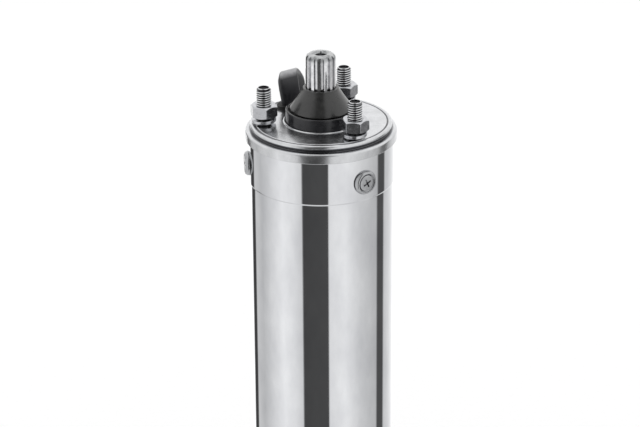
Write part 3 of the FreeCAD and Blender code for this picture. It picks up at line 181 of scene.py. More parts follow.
def polished_stainless_tube():
    """Welded stainless tube, ground between wheels and polished: a nearly clear mirror whose
    fine lines run round it, with faint cloudiness and a few handling marks."""
    finish, tree, surface, place = finish_named("polished_stainless_tube", Metallic=1.0)
    lines = grain(tree, place, 0.5, (60, 60, 0.7), 4)
    clouds = grain(tree, place, 14, (1, 1, 2.2), 3)
    feed(
        tree,
        surface,
        Base_Color=tints(tree, clouds, (0.3, "#c5c6c9"), (0.7, "#d5d6d8")),
        Roughness=between(tree, clouds, 0.03, 0.06),
    )
    relief(tree, surface, lines, 0.0008)
    return finish


def satin_stainless_sheet():
    """Deep-drawn stainless sheet, left satin by the press tool and its oil: broad soft
    highlights, with painted shade that darkens the crease inside the bead and the groove under it."""
    crease_radius, crease_half_width = 35.05 * MM, 0.42 * MM
    groove_top, groove_mouth = ((PLATE - 2.9) * MM, (PLATE - 2.2) * MM), (37.5 * MM, 38.3 * MM)
    darkest_painted_shade = 0.85
    finish, tree, surface, place = finish_named("satin_stainless_sheet", Metallic=1.0)
    lines = grain(tree, place, 0.5, (40, 40, 0.8), 4)
    clouds = grain(tree, place, 6, (1, 1, 1.5), 4)
    way = add(tree, "SeparateXYZ", Vector=place).outputs
    across = add(tree, "CombineXYZ", X=way["X"], Y=way["Y"]).outputs[0]
    reach = add(tree, "VectorMath", {"operation": "LENGTH"}, _0=across).outputs["Value"]
    # Painted shade: the crease inside the bead and the groove under it are painted darker, up to
    # 85 per cent of the way to #58585b, where shade falls.
    crease = reckoned(tree, "COMPARE", reach, crease_radius, crease_half_width)
    groove = reckoned(
        tree,
        "MULTIPLY",
        between(tree, way["Z"], 1, 0, *groove_top),
        between(tree, reach, 1, 0, *groove_mouth),
    )
    painted_shade = reckoned(tree, "MAXIMUM", crease, groove, clamp=True)
    unshaded_sheet = tints(tree, clouds, (0.3, "#bfc0c2"), (0.7, "#d1d2d4"))
    feed(
        tree,
        surface,
        Base_Color=mixed(tree, between(tree, painted_shade, 0, darkest_painted_shade, 0, 1), unshaded_sheet, linear("#58585b")),
        Roughness=between(tree, clouds, 0.2, 0.27),
    )
    relief(tree, surface, lines, 0.0012)
    return finish


def bright_stainless_fastener():
    """Cold-headed stainless steel, barrel finished: bright with small dints."""
    return one_grain(
        "bright_stainless_fastener",
        grains=(3.0, (1, 1, 1), 3),
        shades=((0.3, "#b2b3b6"), (0.65, "#c2c3c6")),
        rough=(0.17, 0.27),
        depth=0.003,
        Metallic=1.0,
    )


def tumbled_stainless_screw():
    """Pressed and cold-headed stainless steel, tumbled dull: greyer than the sheet round it."""
    return one_grain(
        "tumbled_stainless_screw",
        grains=(2.4, (1, 1, 1), 3),
        shades=((0.3, "#9b9c9e"), (0.65, "#adaeb0")),
        rough=(0.18, 0.27),
        depth=0.002,
        Metallic=1.0,
    )


def rolled_stainless_thread():
    """Rolled stainless thread: bright crests, and roots painted near black as painted shade. How
    far a place stands out of the root is read from the studs' own attribute, crest."""
    finish, tree, surface, place = finish_named("rolled_stainless_thread", Metallic=1.0)
    dints = grain(tree, place, 0.8, (1, 1, 1), 3)
    crest = add(tree, "Attribute", {"attribute_name": "crest"}).outputs["Fac"]
    # Painted shade: the roots and the dish in each stud's end are painted near black; the crests
    # and the dish's rim are painted bright, the rim as a painted highlight.
    feed(
        tree,
        surface,
        Base_Color=tints(
            tree, crest, (0.0, "#161618"), (0.35, "#4a4b4d"), (0.8, "#c6c7c9"), (1.0, "#dedfe0")
        ),
        Roughness=between(tree, dints, 0.14, 0.26),
    )
    relief(tree, surface, dints, 0.004)
    return finish


def hobbed_shaft_steel():
    """Hardened stainless shaft, ground on its journals and hobbed on its teeth: bright lands
    with feed marks across the flutes, and a greyer end face that was left as turned."""
    end_face = (PLATE + 34.2) * MM, (PLATE + 35.6) * MM
    finish, tree, surface, place = finish_named("hobbed_shaft_steel", Metallic=1.0)
    feed_marks = grain(tree, place, 0.5, (14, 14, 0.8), 3)
    clouds = grain(tree, place, 3, (1, 1, 1), 3)
    height = add(tree, "SeparateXYZ", Vector=place).outputs["Z"]
    hobbed = tints(tree, clouds, (0.3, "#c2c2c4"), (0.7, "#dedee0"))
    as_turned = tints(tree, clouds, (0.35, "#7d7f80"), (0.65, "#b4b5b6"))
    feed(
        tree,
        surface,
        Base_Color=mixed(tree, between(tree, height, 0, 1, *end_face), hobbed, as_turned),
        Roughness=between(tree, feed_marks, 0.12, 0.24),
    )
    relief(tree, surface, feed_marks, 0.004)
    return finish


def ground_bearing_steel():
    """Chrome bearing steel, ground and superfinished: a clear mirror with ring-shaped lines."""
    return one_grain(
        "ground_bearing_steel",
        grains=(0.5, (20, 20, 0.7), 3),
        shades=((0.3, "#b9b9b8"), (0.7, "#cacac8")),
        rough=(0.08, 0.16),
        depth=0.001,
        Metallic=1.0,
    )


def stamped_carbon_steel():
    """Stamped low-carbon strip, tumbled: grey, with rolling grain and dull edges."""
    return one_grain(
        "stamped_carbon_steel",
        grains=(1.6, (1, 1, 1), 4),
        shades=((0.3, "#86847f"), (0.7, "#a9a7a2")),
        rough=(0.3, 0.45),
        depth=0.012,
        Metallic=1.0,
    )


def cast_iron_machined():
    """Grey iron casting, sand skin with a thin grey primer and turned seats: a fine orange-peel
    grain that scatters the light."""
    finish, tree, surface, place = finish_named("cast_iron_machined", Metallic=0.75)
    sand = grain(tree, place, 1.0, (1, 1, 1), 5, 0.65)
    clouds = grain(tree, place, 9, (1, 1, 1), 3)
    feed(
        tree,
        surface,
        Base_Color=tints(tree, clouds, (0.3, "#6f706e"), (0.7, "#8b8c89")),
        Roughness=between(tree, sand, 0.42, 0.62),
    )
    relief(tree, surface, sand, 0.07)
    return finish


def die_cast_aluminium():
    """Pressure-cast aluminium of the rotor cage: pale, with flow marks and a dull skin."""
    return one_grain(
        "die_cast_aluminium",
        grains=(2.5, (1, 1, 2), 4),
        shades=((0.3, "#a8a9a8"), (0.7, "#c4c5c3")),
        rough=(0.35, 0.5),
        depth=0.03,
        Metallic=0.9,
    )


def stacked_lamination():
    """Stack of varnished electrical sheet, 0.5 mm each and drawn 1 mm so that the lines show:
    dark edges with a bright line at each sheet."""
    sheet = 0.5 * MM
    finish, tree, surface, place = finish_named("stacked_lamination", Metallic=0.7)
    height = add(tree, "SeparateXYZ", Vector=place).outputs["Z"]
    stripes = between(tree, reckoned(tree, "PINGPONG", height, sheet), 0, 1, 0.0, sheet)
    feed(
        tree,
        surface,
        Base_Color=tints(tree, stripes, (0.1, "#2e2c29"), (0.6, "#6a6761")),
        Roughness=between(tree, stripes, 0.6, 0.4, 0, 1),
    )
    relief(tree, surface, stripes, 0.05)
    return finish


def varnished_copper_winding():
    """Enamelled copper wire, laced and dipped in varnish: amber, glossy, with strands of
    about a millimetre lying side by side."""
    return one_grain(
        "varnished_copper_winding",
        grains=(1.2, (5, 5, 0.7), 2),
        shades=((0.3, "#6b2b12"), (0.5, "#a4521f"), (0.7, "#c27a35")),
        rough=(0.3, 0.45),
        depth=0.3,
        Metallic=0.25,
        Coat_Weight=0.6,
        Coat_Roughness=0.12,
    )


def turned_black_plastic():
    """Glass-filled black nylon, moulded and skimmed: a low sheen with faint turning rings."""
    finish, tree, surface, place = finish_named("turned_black_plastic", IOR=1.53)
    rings = grain(tree, place, 0.6, (10, 10, 0.8), 3)
    clouds = grain(tree, place, 2.5, (1, 1, 1), 4)
    feed(
        tree,
        surface,
        Base_Color=tints(tree, clouds, (0.3, "#1c1c1e"), (0.75, "#29292c")),
        Roughness=between(tree, clouds, 0.16, 0.26),
    )
    relief(tree, surface, rings, 0.004)
    return finish


def moulded_nitrile_rubber():
    """Nitrile rubber moulded in a polished tool: black with a soft greyish bloom."""
    finish, tree, surface, place = finish_named(
        "moulded_nitrile_rubber", IOR=1.52, Coat_Weight=0.35, Coat_Roughness=0.12
    )
    bloom = grain(tree, place, 3.0, (1, 1, 1), 5)
    skin = grain(tree, place, 0.45, (1, 1, 1), 3)
    feed(
        tree,
        surface,
        Base_Color=tints(tree, bloom, (0.35, "#121212"), (0.75, "#242423")),
        Roughness=between(tree, bloom, 0.24, 0.4),
    )
    relief(tree, surface, skin, 0.005)
    return finish


def bonded_gland_rubber():
    """Ebonite-hard rubber, vulcanised in a rough mould: dead black with hardly any shine."""
    return one_grain(
        "bonded_gland_rubber",
        grains=(0.8, (1, 1, 1), 4),
        shades=((0.3, "#0e0e0f"), (0.7, "#1a1a1b")),
        rough=(0.5, 0.7),
        depth=0.02,
        IOR=1.5,
    )


def rubber_lead_jacket():
    """Extruded rubber jacket of the flat lead: matt black with chalk left in the grain, and
    what faces up painted lighter, a painted sheen of the light from above."""
    finish, tree, surface, place = finish_named("rubber_lead_jacket", IOR=1.52)
    chalk = grain(tree, place, 2.0, (1, 1, 4), 5)
    skin = grain(tree, place, 0.5, (1, 1, 1), 3)
    # Painted light: faces that point up are painted lighter, towards #a3a3a5, as the sheen of the
    # light from above, broken up a little by the chalk grain.
    upward = add(tree, "SeparateXYZ", Vector=add(tree, "NewGeometry").outputs["Normal"])
    painted_top_light = reckoned(
        tree,
        "MULTIPLY",
        between(tree, upward.outputs["Z"], 0, 1, 0.5, 0.95),
        between(tree, chalk, 0.75, 1.1),
        clamp=True,
    )
    rubber = tints(tree, chalk, (0.4, "#242428"), (0.7, "#313134"), (0.85, "#404043"))
    feed(
        tree,
        surface,
        Base_Color=mixed(tree, painted_top_light, rubber, linear("#a3a3a5")),
        Roughness=between(tree, chalk, 0.36, 0.52),
    )
    relief(tree, surface, skin, 0.015)
    return finish


def pvc_core_insulation():
    """Extruded PVC over each core: smooth and slightly glossy, in green, black, brown and grey
    by where the core lies across the lead's width."""
    finish, tree, surface, place = finish_named("pvc_core_insulation", IOR=1.54)
    height = add(tree, "SeparateXYZ", Vector=place).outputs["Z"]
    cores = between(tree, height, 0, 1, 0.0, CORES_WIDTH * MM)
    clouds = grain(tree, place, 1.5, (1, 1, 1), 3)
    feed(
        tree,
        surface,
        Base_Color=tints(
            tree, cores, (0.0, "#3f6a2a"), (0.27, "#1b1b1c"), (0.52, "#5c3a22"), (0.76, "#7c7c7e")
        ),
        Roughness=between(tree, clouds, 0.3, 0.42),
    )
    tree.nodes["Color Ramp"].color_ramp.interpolation = "CONSTANT"
    relief(tree, surface, clouds, 0.02)
    return finish


def tinned_ferrule_copper():
    """Tinned copper ferrules, crimped: soft white metal with the crimp's small ridges."""
    return one_grain(
        "tinned_ferrule_copper",
        grains=(0.9, (1, 1, 1), 3),
        shades=((0.3, "#bdbbb5"), (0.7, "#d8d6d0")),
        rough=(0.25, 0.4),
        depth=0.04,
        Metallic=1.0,
    )


def lapped_ceramic():
    """Alumina seal seat, lapped: ivory white, with a wet gloss on the lapped face."""
    return one_grain(
        "lapped_ceramic",
        grains=(0.8, (1, 1, 1), 3),
        shades=((0.3, "#dcd6c6"), (0.7, "#efeadd")),
        rough=(0.12, 0.24),
        depth=0.004,
        IOR=1.76,
    )


def carbon_seal_face():
    """Resin-bonded carbon, turned and lapped: graphite grey with a dull shine."""
    return one_grain(
        "carbon_seal_face",
        grains=(0.6, (1, 1, 1), 4),
        shades=((0.3, "#1d1e1f"), (0.7, "#303132")),
        rough=(0.25, 0.4),
        depth=0.006,
        Metallic=0.3,
        IOR=1.8,
    )


def drawn_spring_steel():
    """Drawn stainless spring wire, drawing lines along it and a faint straw tint from the
    stress-relief oven."""
    return one_grain(
        "drawn_spring_steel",
        grains=(1.2, (1, 1, 1), 4),
        shades=((0.3, "#a39a86"), (0.7, "#bdb7aa")),
        rough=(0.2, 0.32),
        depth=0.01,
        Metallic=1.0,
    )


TUBE_STEEL = polished_stainless_tube()
COVER_STEEL = satin_stainless_sheet()
FASTENER = bright_stainless_fastener()
SCREW_STEEL = tumbled_stainless_screw()
THREAD = rolled_stainless_thread()
SHAFT_STEEL = hobbed_shaft_steel()
BEARING_STEEL = ground_bearing_steel()
STAMPED = stamped_carbon_steel()
CASTING = cast_iron_machined()
CAGE_METAL = die_cast_aluminium()
LAMINATION = stacked_lamination()
WINDING = varnished_copper_winding()
PLASTIC = turned_black_plastic()
RUBBER = moulded_nitrile_rubber()
GLAND_RUBBER = bonded_gland_rubber()
JACKET = rubber_lead_jacket()
CORES = pvc_core_insulation()
FERRULES = tinned_ferrule_copper()
CERAMIC = lapped_ceramic()
CARBON = carbon_seal_face()
SPRING = drawn_spring_steel()


def dress(material, *names):
    """Gives CAD nodes that stay a finish of their own."""
    for name in names:
        for slot in nodes[name].material_slots:
            slot.material = material


dress(TUBE_STEEL, "motor_tube")
dress(COVER_STEEL, "top_cover")
dress(FASTENER, "stud_nuts", "foot_screws", "upper_screws", "lower_screws")
dress(FASTENER, "stud_spring_washers", "upper_cup_washers", "lower_cup_washers")
dress(THREAD, "pump_studs")
dress(SHAFT_STEEL, "motor_shaft")
dress(BEARING_STEEL, "upper_bearing_outer_ring", "upper_bearing_inner_ring")
dress(BEARING_STEEL, "lower_bearing_outer_ring", "lower_bearing_inner_ring")
dress(BEARING_STEEL, "upper_bearing_balls", "lower_bearing_balls")
dress(STAMPED, "upper_bearing_cage", "lower_bearing_cage", "diaphragm_plate", "seal_collar")
dress(CASTING, "upper_end_bell", "lower_end_bell", "foot_cover")
dress(CAGE_METAL, "rotor_cage")
dress(LAMINATION, "stator_core", "rotor_core")
dress(WINDING, "stator_winding")
dress(PLASTIC, "seal_housing")
dress(RUBBER, "sand_slinger", "lip_seal", "upper_o_ring", "lower_o_ring", "diaphragm")
dress(GLAND_RUBBER, "lead_gland")
dress(JACKET, "lead_tube", "lead_coil", "inner_leads")
dress(CORES, "lead_cores")
dress(FERRULES, "core_ferrules")
dress(CERAMIC, "seal_seat")
dress(CARBON, "seal_face")
dress(SPRING, "seal_spring", "preload_washer", "bearing_circlip", "shaft_circlips")
dress(SPRING, "diaphragm_spring")


# How pieces are made


def piece(name, mesh, material, body, slot, *replaced, smooth=None):
    """Makes a bmesh in millimetres a named piece of the frame that stands for CAD nodes. It
    rides on one body; given two bodies with where a blend starts and ends, it doesn't blend but
    stays where it was made."""
    bmesh.ops.scale(mesh, vec=(MM, MM, MM), verts=mesh.verts)
    data = bpy.data.meshes.new(name)
    mesh.to_mesh(data)
    mesh.free()
    data.materials.append(material)
    data.shade_smooth()
    if smooth is not None:
        data.set_sharp_from_angle(angle=math.radians(smooth))
    made = bpy.data.objects.new(name, data)
    if smooth is not None:
        level = made.modifiers.new("flat_faces_stay_flat", "WEIGHTED_NORMAL")
        level.keep_sharp = True
    bpy.context.scene.collection.objects.link(made)
    if isinstance(body, str):
        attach(made, body)
    else:
        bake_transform(made)
    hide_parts(*replaced)
    return made


def only(kind, parts):
    """The parts of one kind among those that an operator gives back."""
    return [part for part in parts if isinstance(part, kind)]


def turn(mesh, axis, angle, verts=None, centre=(0, 0, 0)):
    """Turns a mesh, or some of its vertices, by an angle in radians."""
    bmesh.ops.rotate(
        mesh,
        cent=centre,
        matrix=Matrix.Rotation(angle, 3, axis),
        verts=mesh.verts if verts is None else verts,
    )


def eased(mesh, parts, reach, segments, affect="VERTICES"):
    """Rounds a section's corners, or a solid's edges."""
    bmesh.ops.bevel(
        mesh,
        geom=parts,
        offset=reach,
        offset_type="OFFSET",
        segments=segments,
        profile=0.5,
        affect=affect,
        material=-1,
    )


def wire(mesh, points, closed):
    """Joins points by edges on the XZ plane. A point is across, up and, where its corner is
    rounded, by how much."""
    verts = [mesh.verts.new((across, 0, up)) for across, up, *_ in points]
    pairs = list(zip(verts, verts[1:] + verts[:1])) if closed else list(zip(verts, verts[1:]))
    for pair in pairs:
        mesh.edges.new(pair)
    rounds = {}
    for vert, point in zip(verts, points):
        if len(point) > 2:
            rounds.setdefault(point[2], []).append(vert)
    for reach, corners in rounds.items():
        eased(mesh, corners, reach, 4)


def spun(points, steps=128, closed=True):
    """A profile on the XZ plane, turned all the way round the Z axis."""
    mesh = bmesh.new()
    wire(mesh, points, closed)
    bmesh.ops.spin(
        mesh,
        geom=mesh.verts[:] + mesh.edges[:],
        cent=(0, 0, 0),
        axis=(0, 0, 1),
        dvec=(0, 0, 0),
        angle=math.tau,
        steps=steps,
        use_merge=True,
    )
    tidied(mesh)
    return mesh


def tidied(mesh):
    """Joins vertices that meet and turns every face outwards."""
    bmesh.ops.remove_doubles(mesh, verts=mesh.verts, dist=0.002)
    bmesh.ops.recalc_face_normals(mesh, faces=mesh.faces)


def copied_round(mesh):
    """Turns copies of a mesh drawn over +X to each of the three bearings."""
    first = mesh.verts[:] + mesh.edges[:] + mesh.faces[:]
    turned = [
        bmesh.ops.duplicate(mesh, geom=first)["geom"] if number else first
        for number in range(len(THIRDS))
    ]
    for bearing, geometry in zip(THIRDS, turned):
        turn(mesh, "Z", math.radians(bearing), only(bmesh.types.BMVert, geometry))
    return mesh


def merged(parts):
    """Several meshes as one."""
    whole = bmesh.new()
    for part in parts:
        data = bpy.data.meshes.new("part")
        part.to_mesh(data)
        part.free()
        whole.from_mesh(data)
        bpy.data.meshes.remove(data)
    return whole


def stud_place(bearing, up=0):
    """Where the axis of the stud at a bearing passes a height."""
    place = Vector((STUD_RADIUS, 0, up))
    place.rotate(Matrix.Rotation(math.radians(bearing), 3, "Z"))
    return place


def cut_by(mesh, cutters, name):
    """Takes the cutters out of a mesh, by a Boolean whose result is kept."""
    holders = []
    for label, part in ((name, mesh), (name + "_cutters", cutters)):
        data = bpy.data.meshes.new(label)
        part.to_mesh(data)
        part.free()
        holder = bpy.data.objects.new(label, data)
        bpy.context.scene.collection.objects.link(holder)
        holders.append(holder)
    whole, tool = holders
    cut = whole.modifiers.new("cut", "BOOLEAN")
    cut.operation, cut.solver, cut.object = "DIFFERENCE", "EXACT", tool
    cut.use_self = True
    bpy.context.view_layer.update()
    ready = whole.evaluated_get(bpy.context.evaluated_depsgraph_get())
    result = bmesh.new()
    result.from_mesh(ready.to_mesh())
    ready.to_mesh_clear()
    for holder in holders:
        data = holder.data
        bpy.data.objects.remove(holder)
        bpy.data.meshes.remove(data)
    return result


# Tube and cover


def motor_tube():
    """Thin tube, wider where the upper end bell sits in it, with its two cut ends. Loops near
    the slope keep the long walls flat beside it."""
    band_low, top, low, wall = PLATE - 32.2, PLATE - 6.05, 8.3, 1.5
    slope, loop = 0.7, 2
    return spun(
        [
            (TUBE_RADIUS - wall, low, 0.3),
            (TUBE_RADIUS, low, 0.3),
            (TUBE_RADIUS, LOWER_SCREWS - 12),
            (TUBE_RADIUS, band_low - slope - loop),
            (TUBE_RADIUS, band_low - slope, 0.2),
            (BAND_RADIUS, band_low, 0.2),
            (BAND_RADIUS, band_low + loop),
            (BAND_RADIUS, top, 0.3),
            (BAND_RADIUS - wall, top, 0.3),
            (BAND_RADIUS - wall, band_low),
            (TUBE_RADIUS - wall, band_low - slope),
        ],
        steps=192,
    )


def oblong(bearing, radius, length, width, low, high):
    """A round-ended block whose long side lies round the shaft."""
    mesh = bmesh.new()
    half, end = length / 2, width / 2
    inner, outer = radius - end, radius + end
    corners = [(inner, -half), (outer, -half), (outer, half), (inner, half)]
    face = mesh.faces.new([mesh.verts.new((x, y, low)) for x, y in corners])
    eased(mesh, face.verts[:], end * 0.99, 8)
    raised = bmesh.ops.extrude_face_region(mesh, geom=mesh.faces[:])["geom"]
    risen = only(bmesh.types.BMVert, raised)
    bmesh.ops.translate(mesh, vec=(0, 0, high - low), verts=risen)
    turn(mesh, "Z", math.radians(bearing))
    bmesh.ops.recalc_face_normals(mesh, faces=mesh.faces)
    return mesh


def top_cover():
    """Deep-drawn cover: plate with a fine crease inside its rolled bead, a groove under the
    bead, a rounded shoulder, a short skirt, stud holes and the lead's round-ended slot."""
    bead, bead_radius, shoulder, groove = 1.25, 36.25, PLATE - 3.7, 36.3
    rolled = [
        (bead_radius + bead * math.sin(angle), PLATE - bead + bead * math.cos(angle))
        for angle in (math.radians(degrees) for degrees in range(-50, 151, 20))
    ]
    mesh = spun(
        [
            (18.9, PLATE - 1.2, 0.2),
            (34.2, PLATE - 1.3),
            (35.2, PLATE - 2.6),
            (35.2, PLATE - 4.9),
            (38.8, PLATE - 4.9),
            (38.8, PLATE - 9.0, 0.2),
            (40.0, PLATE - 9.0, 0.35),
            (40.0, shoulder, 1.3),
            (groove, shoulder, 0.3),
            *reversed(rolled),
            (35.22, PLATE - 0.65, 0.12),
            (34.88, PLATE - 0.65, 0.12),
            (34.5, PLATE, 0.25),
            (19.9, PLATE, 0.2),
            (19.6, PLATE + 0.45, 0.2),
            (18.9, PLATE + 0.45, 0.2),
        ],
        steps=192,
    )
    holes = bmesh.new()
    for bearing in THIRDS:
        drill = bmesh.ops.create_cone(
            holes, cap_ends=True, segments=48, radius1=4.3, radius2=4.3, depth=6
        )["verts"]
        bmesh.ops.translate(holes, vec=stud_place(bearing, PLATE), verts=drill)
    slot_radius, slot_length, slot_width = 27.125, 17.0, 8.0
    slot = oblong(LEAD_BEARING, slot_radius, slot_length, slot_width, PLATE - 3, PLATE + 3)
    return cut_by(mesh, merged([holes, slot]), "top_cover")


piece(
    "polished_tube", motor_tube(), TUBE_STEEL, "motor_housing", "stainless_tube",
    "motor_tube", smooth=40,
)
piece(
    "drawn_cover", top_cover(), COVER_STEEL, "motor_housing", "stainless_cover",
    "top_cover", smooth=35,
)


# Collar, slinger and shaft


def seal_collar_ring():
    """Turned collar round the shaft, with a rounded lip."""
    return spun(
        [
            (10.5, PLATE - 3.2),
            (18.6, PLATE - 3.2),
            (18.6, PLATE + 6.9, 0.6),
            (17.1, PLATE + 6.9, 0.5),
            (17.1, PLATE + 3.4, 0.4),
            (14.05, PLATE + 3.4, 0.2),
            (14.05, PLATE - 2.6),
            (10.5, PLATE - 2.6),
        ],
        steps=128,
    )


def slinger_cone():
    """Moulded rubber cone with a soft lip in the collar's mouth and a rounded neck."""
    return spun(
        [
            (8.025, PLATE + 5.4),
            (10.4, PLATE + 5.4, 0.3),
            (10.4, PLATE + 11.5),
            (14.5, PLATE + 6.8, 0.2),
            (16.4, PLATE + 6.8, 0.3),
            (16.4, PLATE + 7.6, 0.35),
            (9.7, PLATE + 17.9, 0.8),
            (9.4, PLATE + 18.9, 0.4),
            (8.025, PLATE + 18.9, 0.2),
        ],
        steps=128,
    )


def splined_shaft():
    """The whole shaft as it is turned, with its teeth hobbed into the upper end."""
    top, foot = PLATE + 37.4, 66.0
    spline, lower, seat, upper = 7.95, 10.0, 11.0, 8.5
    upper_low, clip = PLATE - 45.0, PLATE - 32.95
    mesh = spun(
        [
            (0, foot),
            (lower, foot, 1.0),
            (lower, 73.7),
            (lower - 0.8, 73.7),
            (lower - 0.8, 75.0),
            (lower, 75.0),
            (lower, 89.0),
            (seat, 89.0, 0.3),
            (seat, upper_low, 0.3),
            (upper, upper_low),
            (upper, clip),
            (upper - 0.8, clip),
            (upper - 0.8, clip + 1.3),
            (upper, clip + 1.3),
            (upper, clip + 2.4),
            (8.0, clip + 2.9),
            (8.0, top - 21.5),
            (spline, top - 21.5),
            (spline, top - 8),
            (spline, top, 2.7),
            (3.6, top, 0.25),
            (2.75, top - 0.9, 0.2),
            (2.75, top - 7.0),
            (0, top - 9.4),
        ],
        steps=168,
        closed=False,
    )
    cutters = bmesh.new()
    low, high = top - 21.4, top + 1
    root, out, root_half, out_half = 6.7, spline + 1.2, 0.45, 1.15 + 0.35
    corners = [(root, -root_half), (out, -out_half), (out, out_half), (root, root_half)]
    for tooth in range(TEETH):
        flute = cutters.faces.new([cutters.verts.new((x, y, low)) for x, y in corners])
        raised = bmesh.ops.extrude_face_region(cutters, geom=[flute])["geom"]
        risen = only(bmesh.types.BMVert, raised)
        bmesh.ops.translate(cutters, vec=(0, 0, high - low), verts=risen)
        angle = math.tau * (tooth + 0.5) / TEETH
        turn(cutters, "Z", angle, list(flute.verts) + risen)
    bmesh.ops.recalc_face_normals(cutters, faces=cutters.faces)
    return cut_by(mesh, cutters, "splined_shaft")


piece(
    "turned_collar", seal_collar_ring(), PLASTIC, "motor_housing", "black_plastic",
    "seal_housing", smooth=40,
)
piece(
    "slinger_cone", slinger_cone(), RUBBER, "rotor", "black_rubber", "sand_slinger", smooth=40
)
piece(
    "splined_shaft", splined_shaft(), SHAFT_STEEL, "rotor", "shaft_steel", "motor_shaft", smooth=30
)


# Studs, nuts and spring washers


def threaded_stud():
    """One M8 stud over +X: a real helical thread up to the chamfer and a dished end."""
    pitch, crest, root = 1.25, 4.0, 3.35
    low, top, seam, chamfer = PLATE + 9.6, PLATE + 19.8, 0.05, 1.1
    dish_radius, dish_rim = 2.8, 2.95
    mesh = bmesh.new()
    steps = 36
    turns = math.ceil((top - low) / pitch) + 1
    ridge = [
        (root, 0.0),
        (crest - 0.05, 0.5),
        (crest, 0.56),
        (crest, 0.66),
        (crest - 0.05, 0.72),
        (root, 1.2),
        (root, pitch),
    ]
    verts = [mesh.verts.new((r, 0, low - pitch + rise)) for r, rise in ridge]
    edges = [mesh.edges.new(pair) for pair in zip(verts, verts[1:])]
    bmesh.ops.spin(
        mesh,
        geom=verts + edges,
        cent=(0, 0, 0),
        axis=(0, 0, 1),
        dvec=(0, 0, pitch / steps),
        angle=math.tau * turns,
        steps=steps * turns,
        use_merge=False,
    )
    bmesh.ops.remove_doubles(mesh, verts=mesh.verts, dist=0.01)
    for vert in mesh.verts:
        reach = math.hypot(vert.co.x, vert.co.y)
        limit = min(crest, crest - chamfer + max(0.0, top - seam - vert.co.z))
        if vert.co.z > top - seam:
            vert.co.z = top - seam
        if reach > limit:
            vert.co.x *= limit / reach
            vert.co.y *= limit / reach
    shank = spun(
        [
            (0, PLATE - 16.0),
            (3.595, PLATE - 16.0),
            (3.595, PLATE + 10.0),
            (root, PLATE + 10.0),
            (root, top - 0.75),
            (3.05, top, 0.08),
            (2.85, top, 0.08),
            (2.3, top - 0.8, 0.4),
            (0, top - 1.0),
        ],
        steps=48,
        closed=False,
    )
    mesh = merged([mesh, shank])
    bmesh.ops.recalc_face_normals(mesh, faces=mesh.faces)
    # The crest attribute carries painted light: it runs from 0 at the roots to 1 at the crests, so
    # the roots are painted near black as painted shade; the dish in the end is set to 0 as painted
    # shade and the dish's rim to 1 as a painted highlight.
    crest_and_painted_light = mesh.verts.layers.float.new("crest")
    for vert in mesh.verts:
        reach = math.hypot(vert.co.x, vert.co.y)
        painted_shade_in_dish = vert.co.z > top - 1.1 and reach < dish_radius
        vert[crest_and_painted_light] = 0.0 if painted_shade_in_dish else min(1, max(0, (reach - root) / (crest - root)))
        if abs(reach - dish_rim) < 0.14 and vert.co.z > top - 0.2:
            vert[crest_and_painted_light] = 1.0
    bmesh.ops.translate(mesh, vec=(STUD_RADIUS, 0, 0), verts=mesh.verts)
    return mesh


def hexagon_nut(stopped_at):
    """One M8 nut on its own axis: six flats, both faces chamfered, a countersunk hole."""
    flat, low, high = 6.5, PLATE + 3.9, PLATE + 10.4
    corner = flat / math.cos(math.radians(30))
    mesh = spun(
        [
            (3.6, low + 0.6),
            (4.3, low),
            (flat - 0.35, low),
            (corner + 0.05, low + 0.95),
            (corner + 0.05, high - 0.95),
            (flat - 0.35, high),
            (4.3, high),
            (3.6, high - 0.6),
        ],
        steps=96,
    )
    for side in range(6):
        bearing = math.radians(60 * side + stopped_at)
        normal = Vector((math.cos(bearing), math.sin(bearing), 0))
        cut = bmesh.ops.bisect_plane(
            mesh,
            geom=mesh.verts[:] + mesh.edges[:] + mesh.faces[:],
            dist=0.001,
            plane_co=normal * flat,
            plane_no=normal,
            clear_outer=True,
        )["geom_cut"]
        bmesh.ops.edgeloop_fill(mesh, edges=only(bmesh.types.BMEdge, cut))
    tidied(mesh)
    least_rise = 3
    upright = [
        edge
        for edge in mesh.edges
        if abs(edge.verts[0].co.z - edge.verts[1].co.z) > least_rise
        and Vector(edge.verts[0].co.xy).length > corner - 0.3
    ]
    eased(mesh, upright, 0.22, 2, "EDGES")
    return mesh


def spring_washer():
    """One square-wire spring washer, its split open and one end risen."""
    inner, outer, low, thick, rise, gap = 4.25, 6.35, PLATE + 0.05, 1.75, 1.75, 8
    mesh = bmesh.new()
    verts = [
        mesh.verts.new((across, 0, up))
        for across, up in ((inner, low), (outer, low), (outer, low + thick), (inner, low + thick))
    ]
    section = mesh.faces.new(verts)
    eased(mesh, section.verts[:], 0.3, 3)
    steps = 60
    turn(mesh, "Z", math.radians(SPLIT_BEARING + gap / 2))
    bmesh.ops.spin(
        mesh,
        geom=mesh.faces[:],
        cent=(0, 0, 0),
        axis=(0, 0, 1),
        dvec=(0, 0, rise / steps),
        angle=math.radians(360 - gap),
        steps=steps,
        use_merge=False,
    )
    tidied(mesh)
    return mesh


def one_to_each_stud(parts):
    """Moves one mesh to each stud's axis and makes them one."""
    for part, bearing in zip(parts, THIRDS):
        bmesh.ops.translate(part, vec=stud_place(bearing), verts=part.verts)
    return merged(parts)


piece(
    "threaded_studs", copied_round(threaded_stud()), THREAD, "motor_housing",
    "bright_fastener", "pump_studs", smooth=40,
)
piece(
    "hexagon_nuts", one_to_each_stud([hexagon_nut(angle) for angle in NUT_TURNS]), FASTENER,
    "motor_housing", "bright_fastener", "stud_nuts", smooth=25,
)
piece(
    "split_washers", one_to_each_stud([spring_washer() for _ in THIRDS]), FASTENER,
    "motor_housing", "bright_fastener", "stud_spring_washers", smooth=40,
)


# Radial screws and their cup washers


def laid_out(mesh, level):
    """Lays a piece drawn on the shaft's axis so that it points outwards at a height."""
    turn(mesh, "Y", math.radians(90))
    bmesh.ops.translate(mesh, vec=(0, 0, level), verts=mesh.verts)
    return mesh


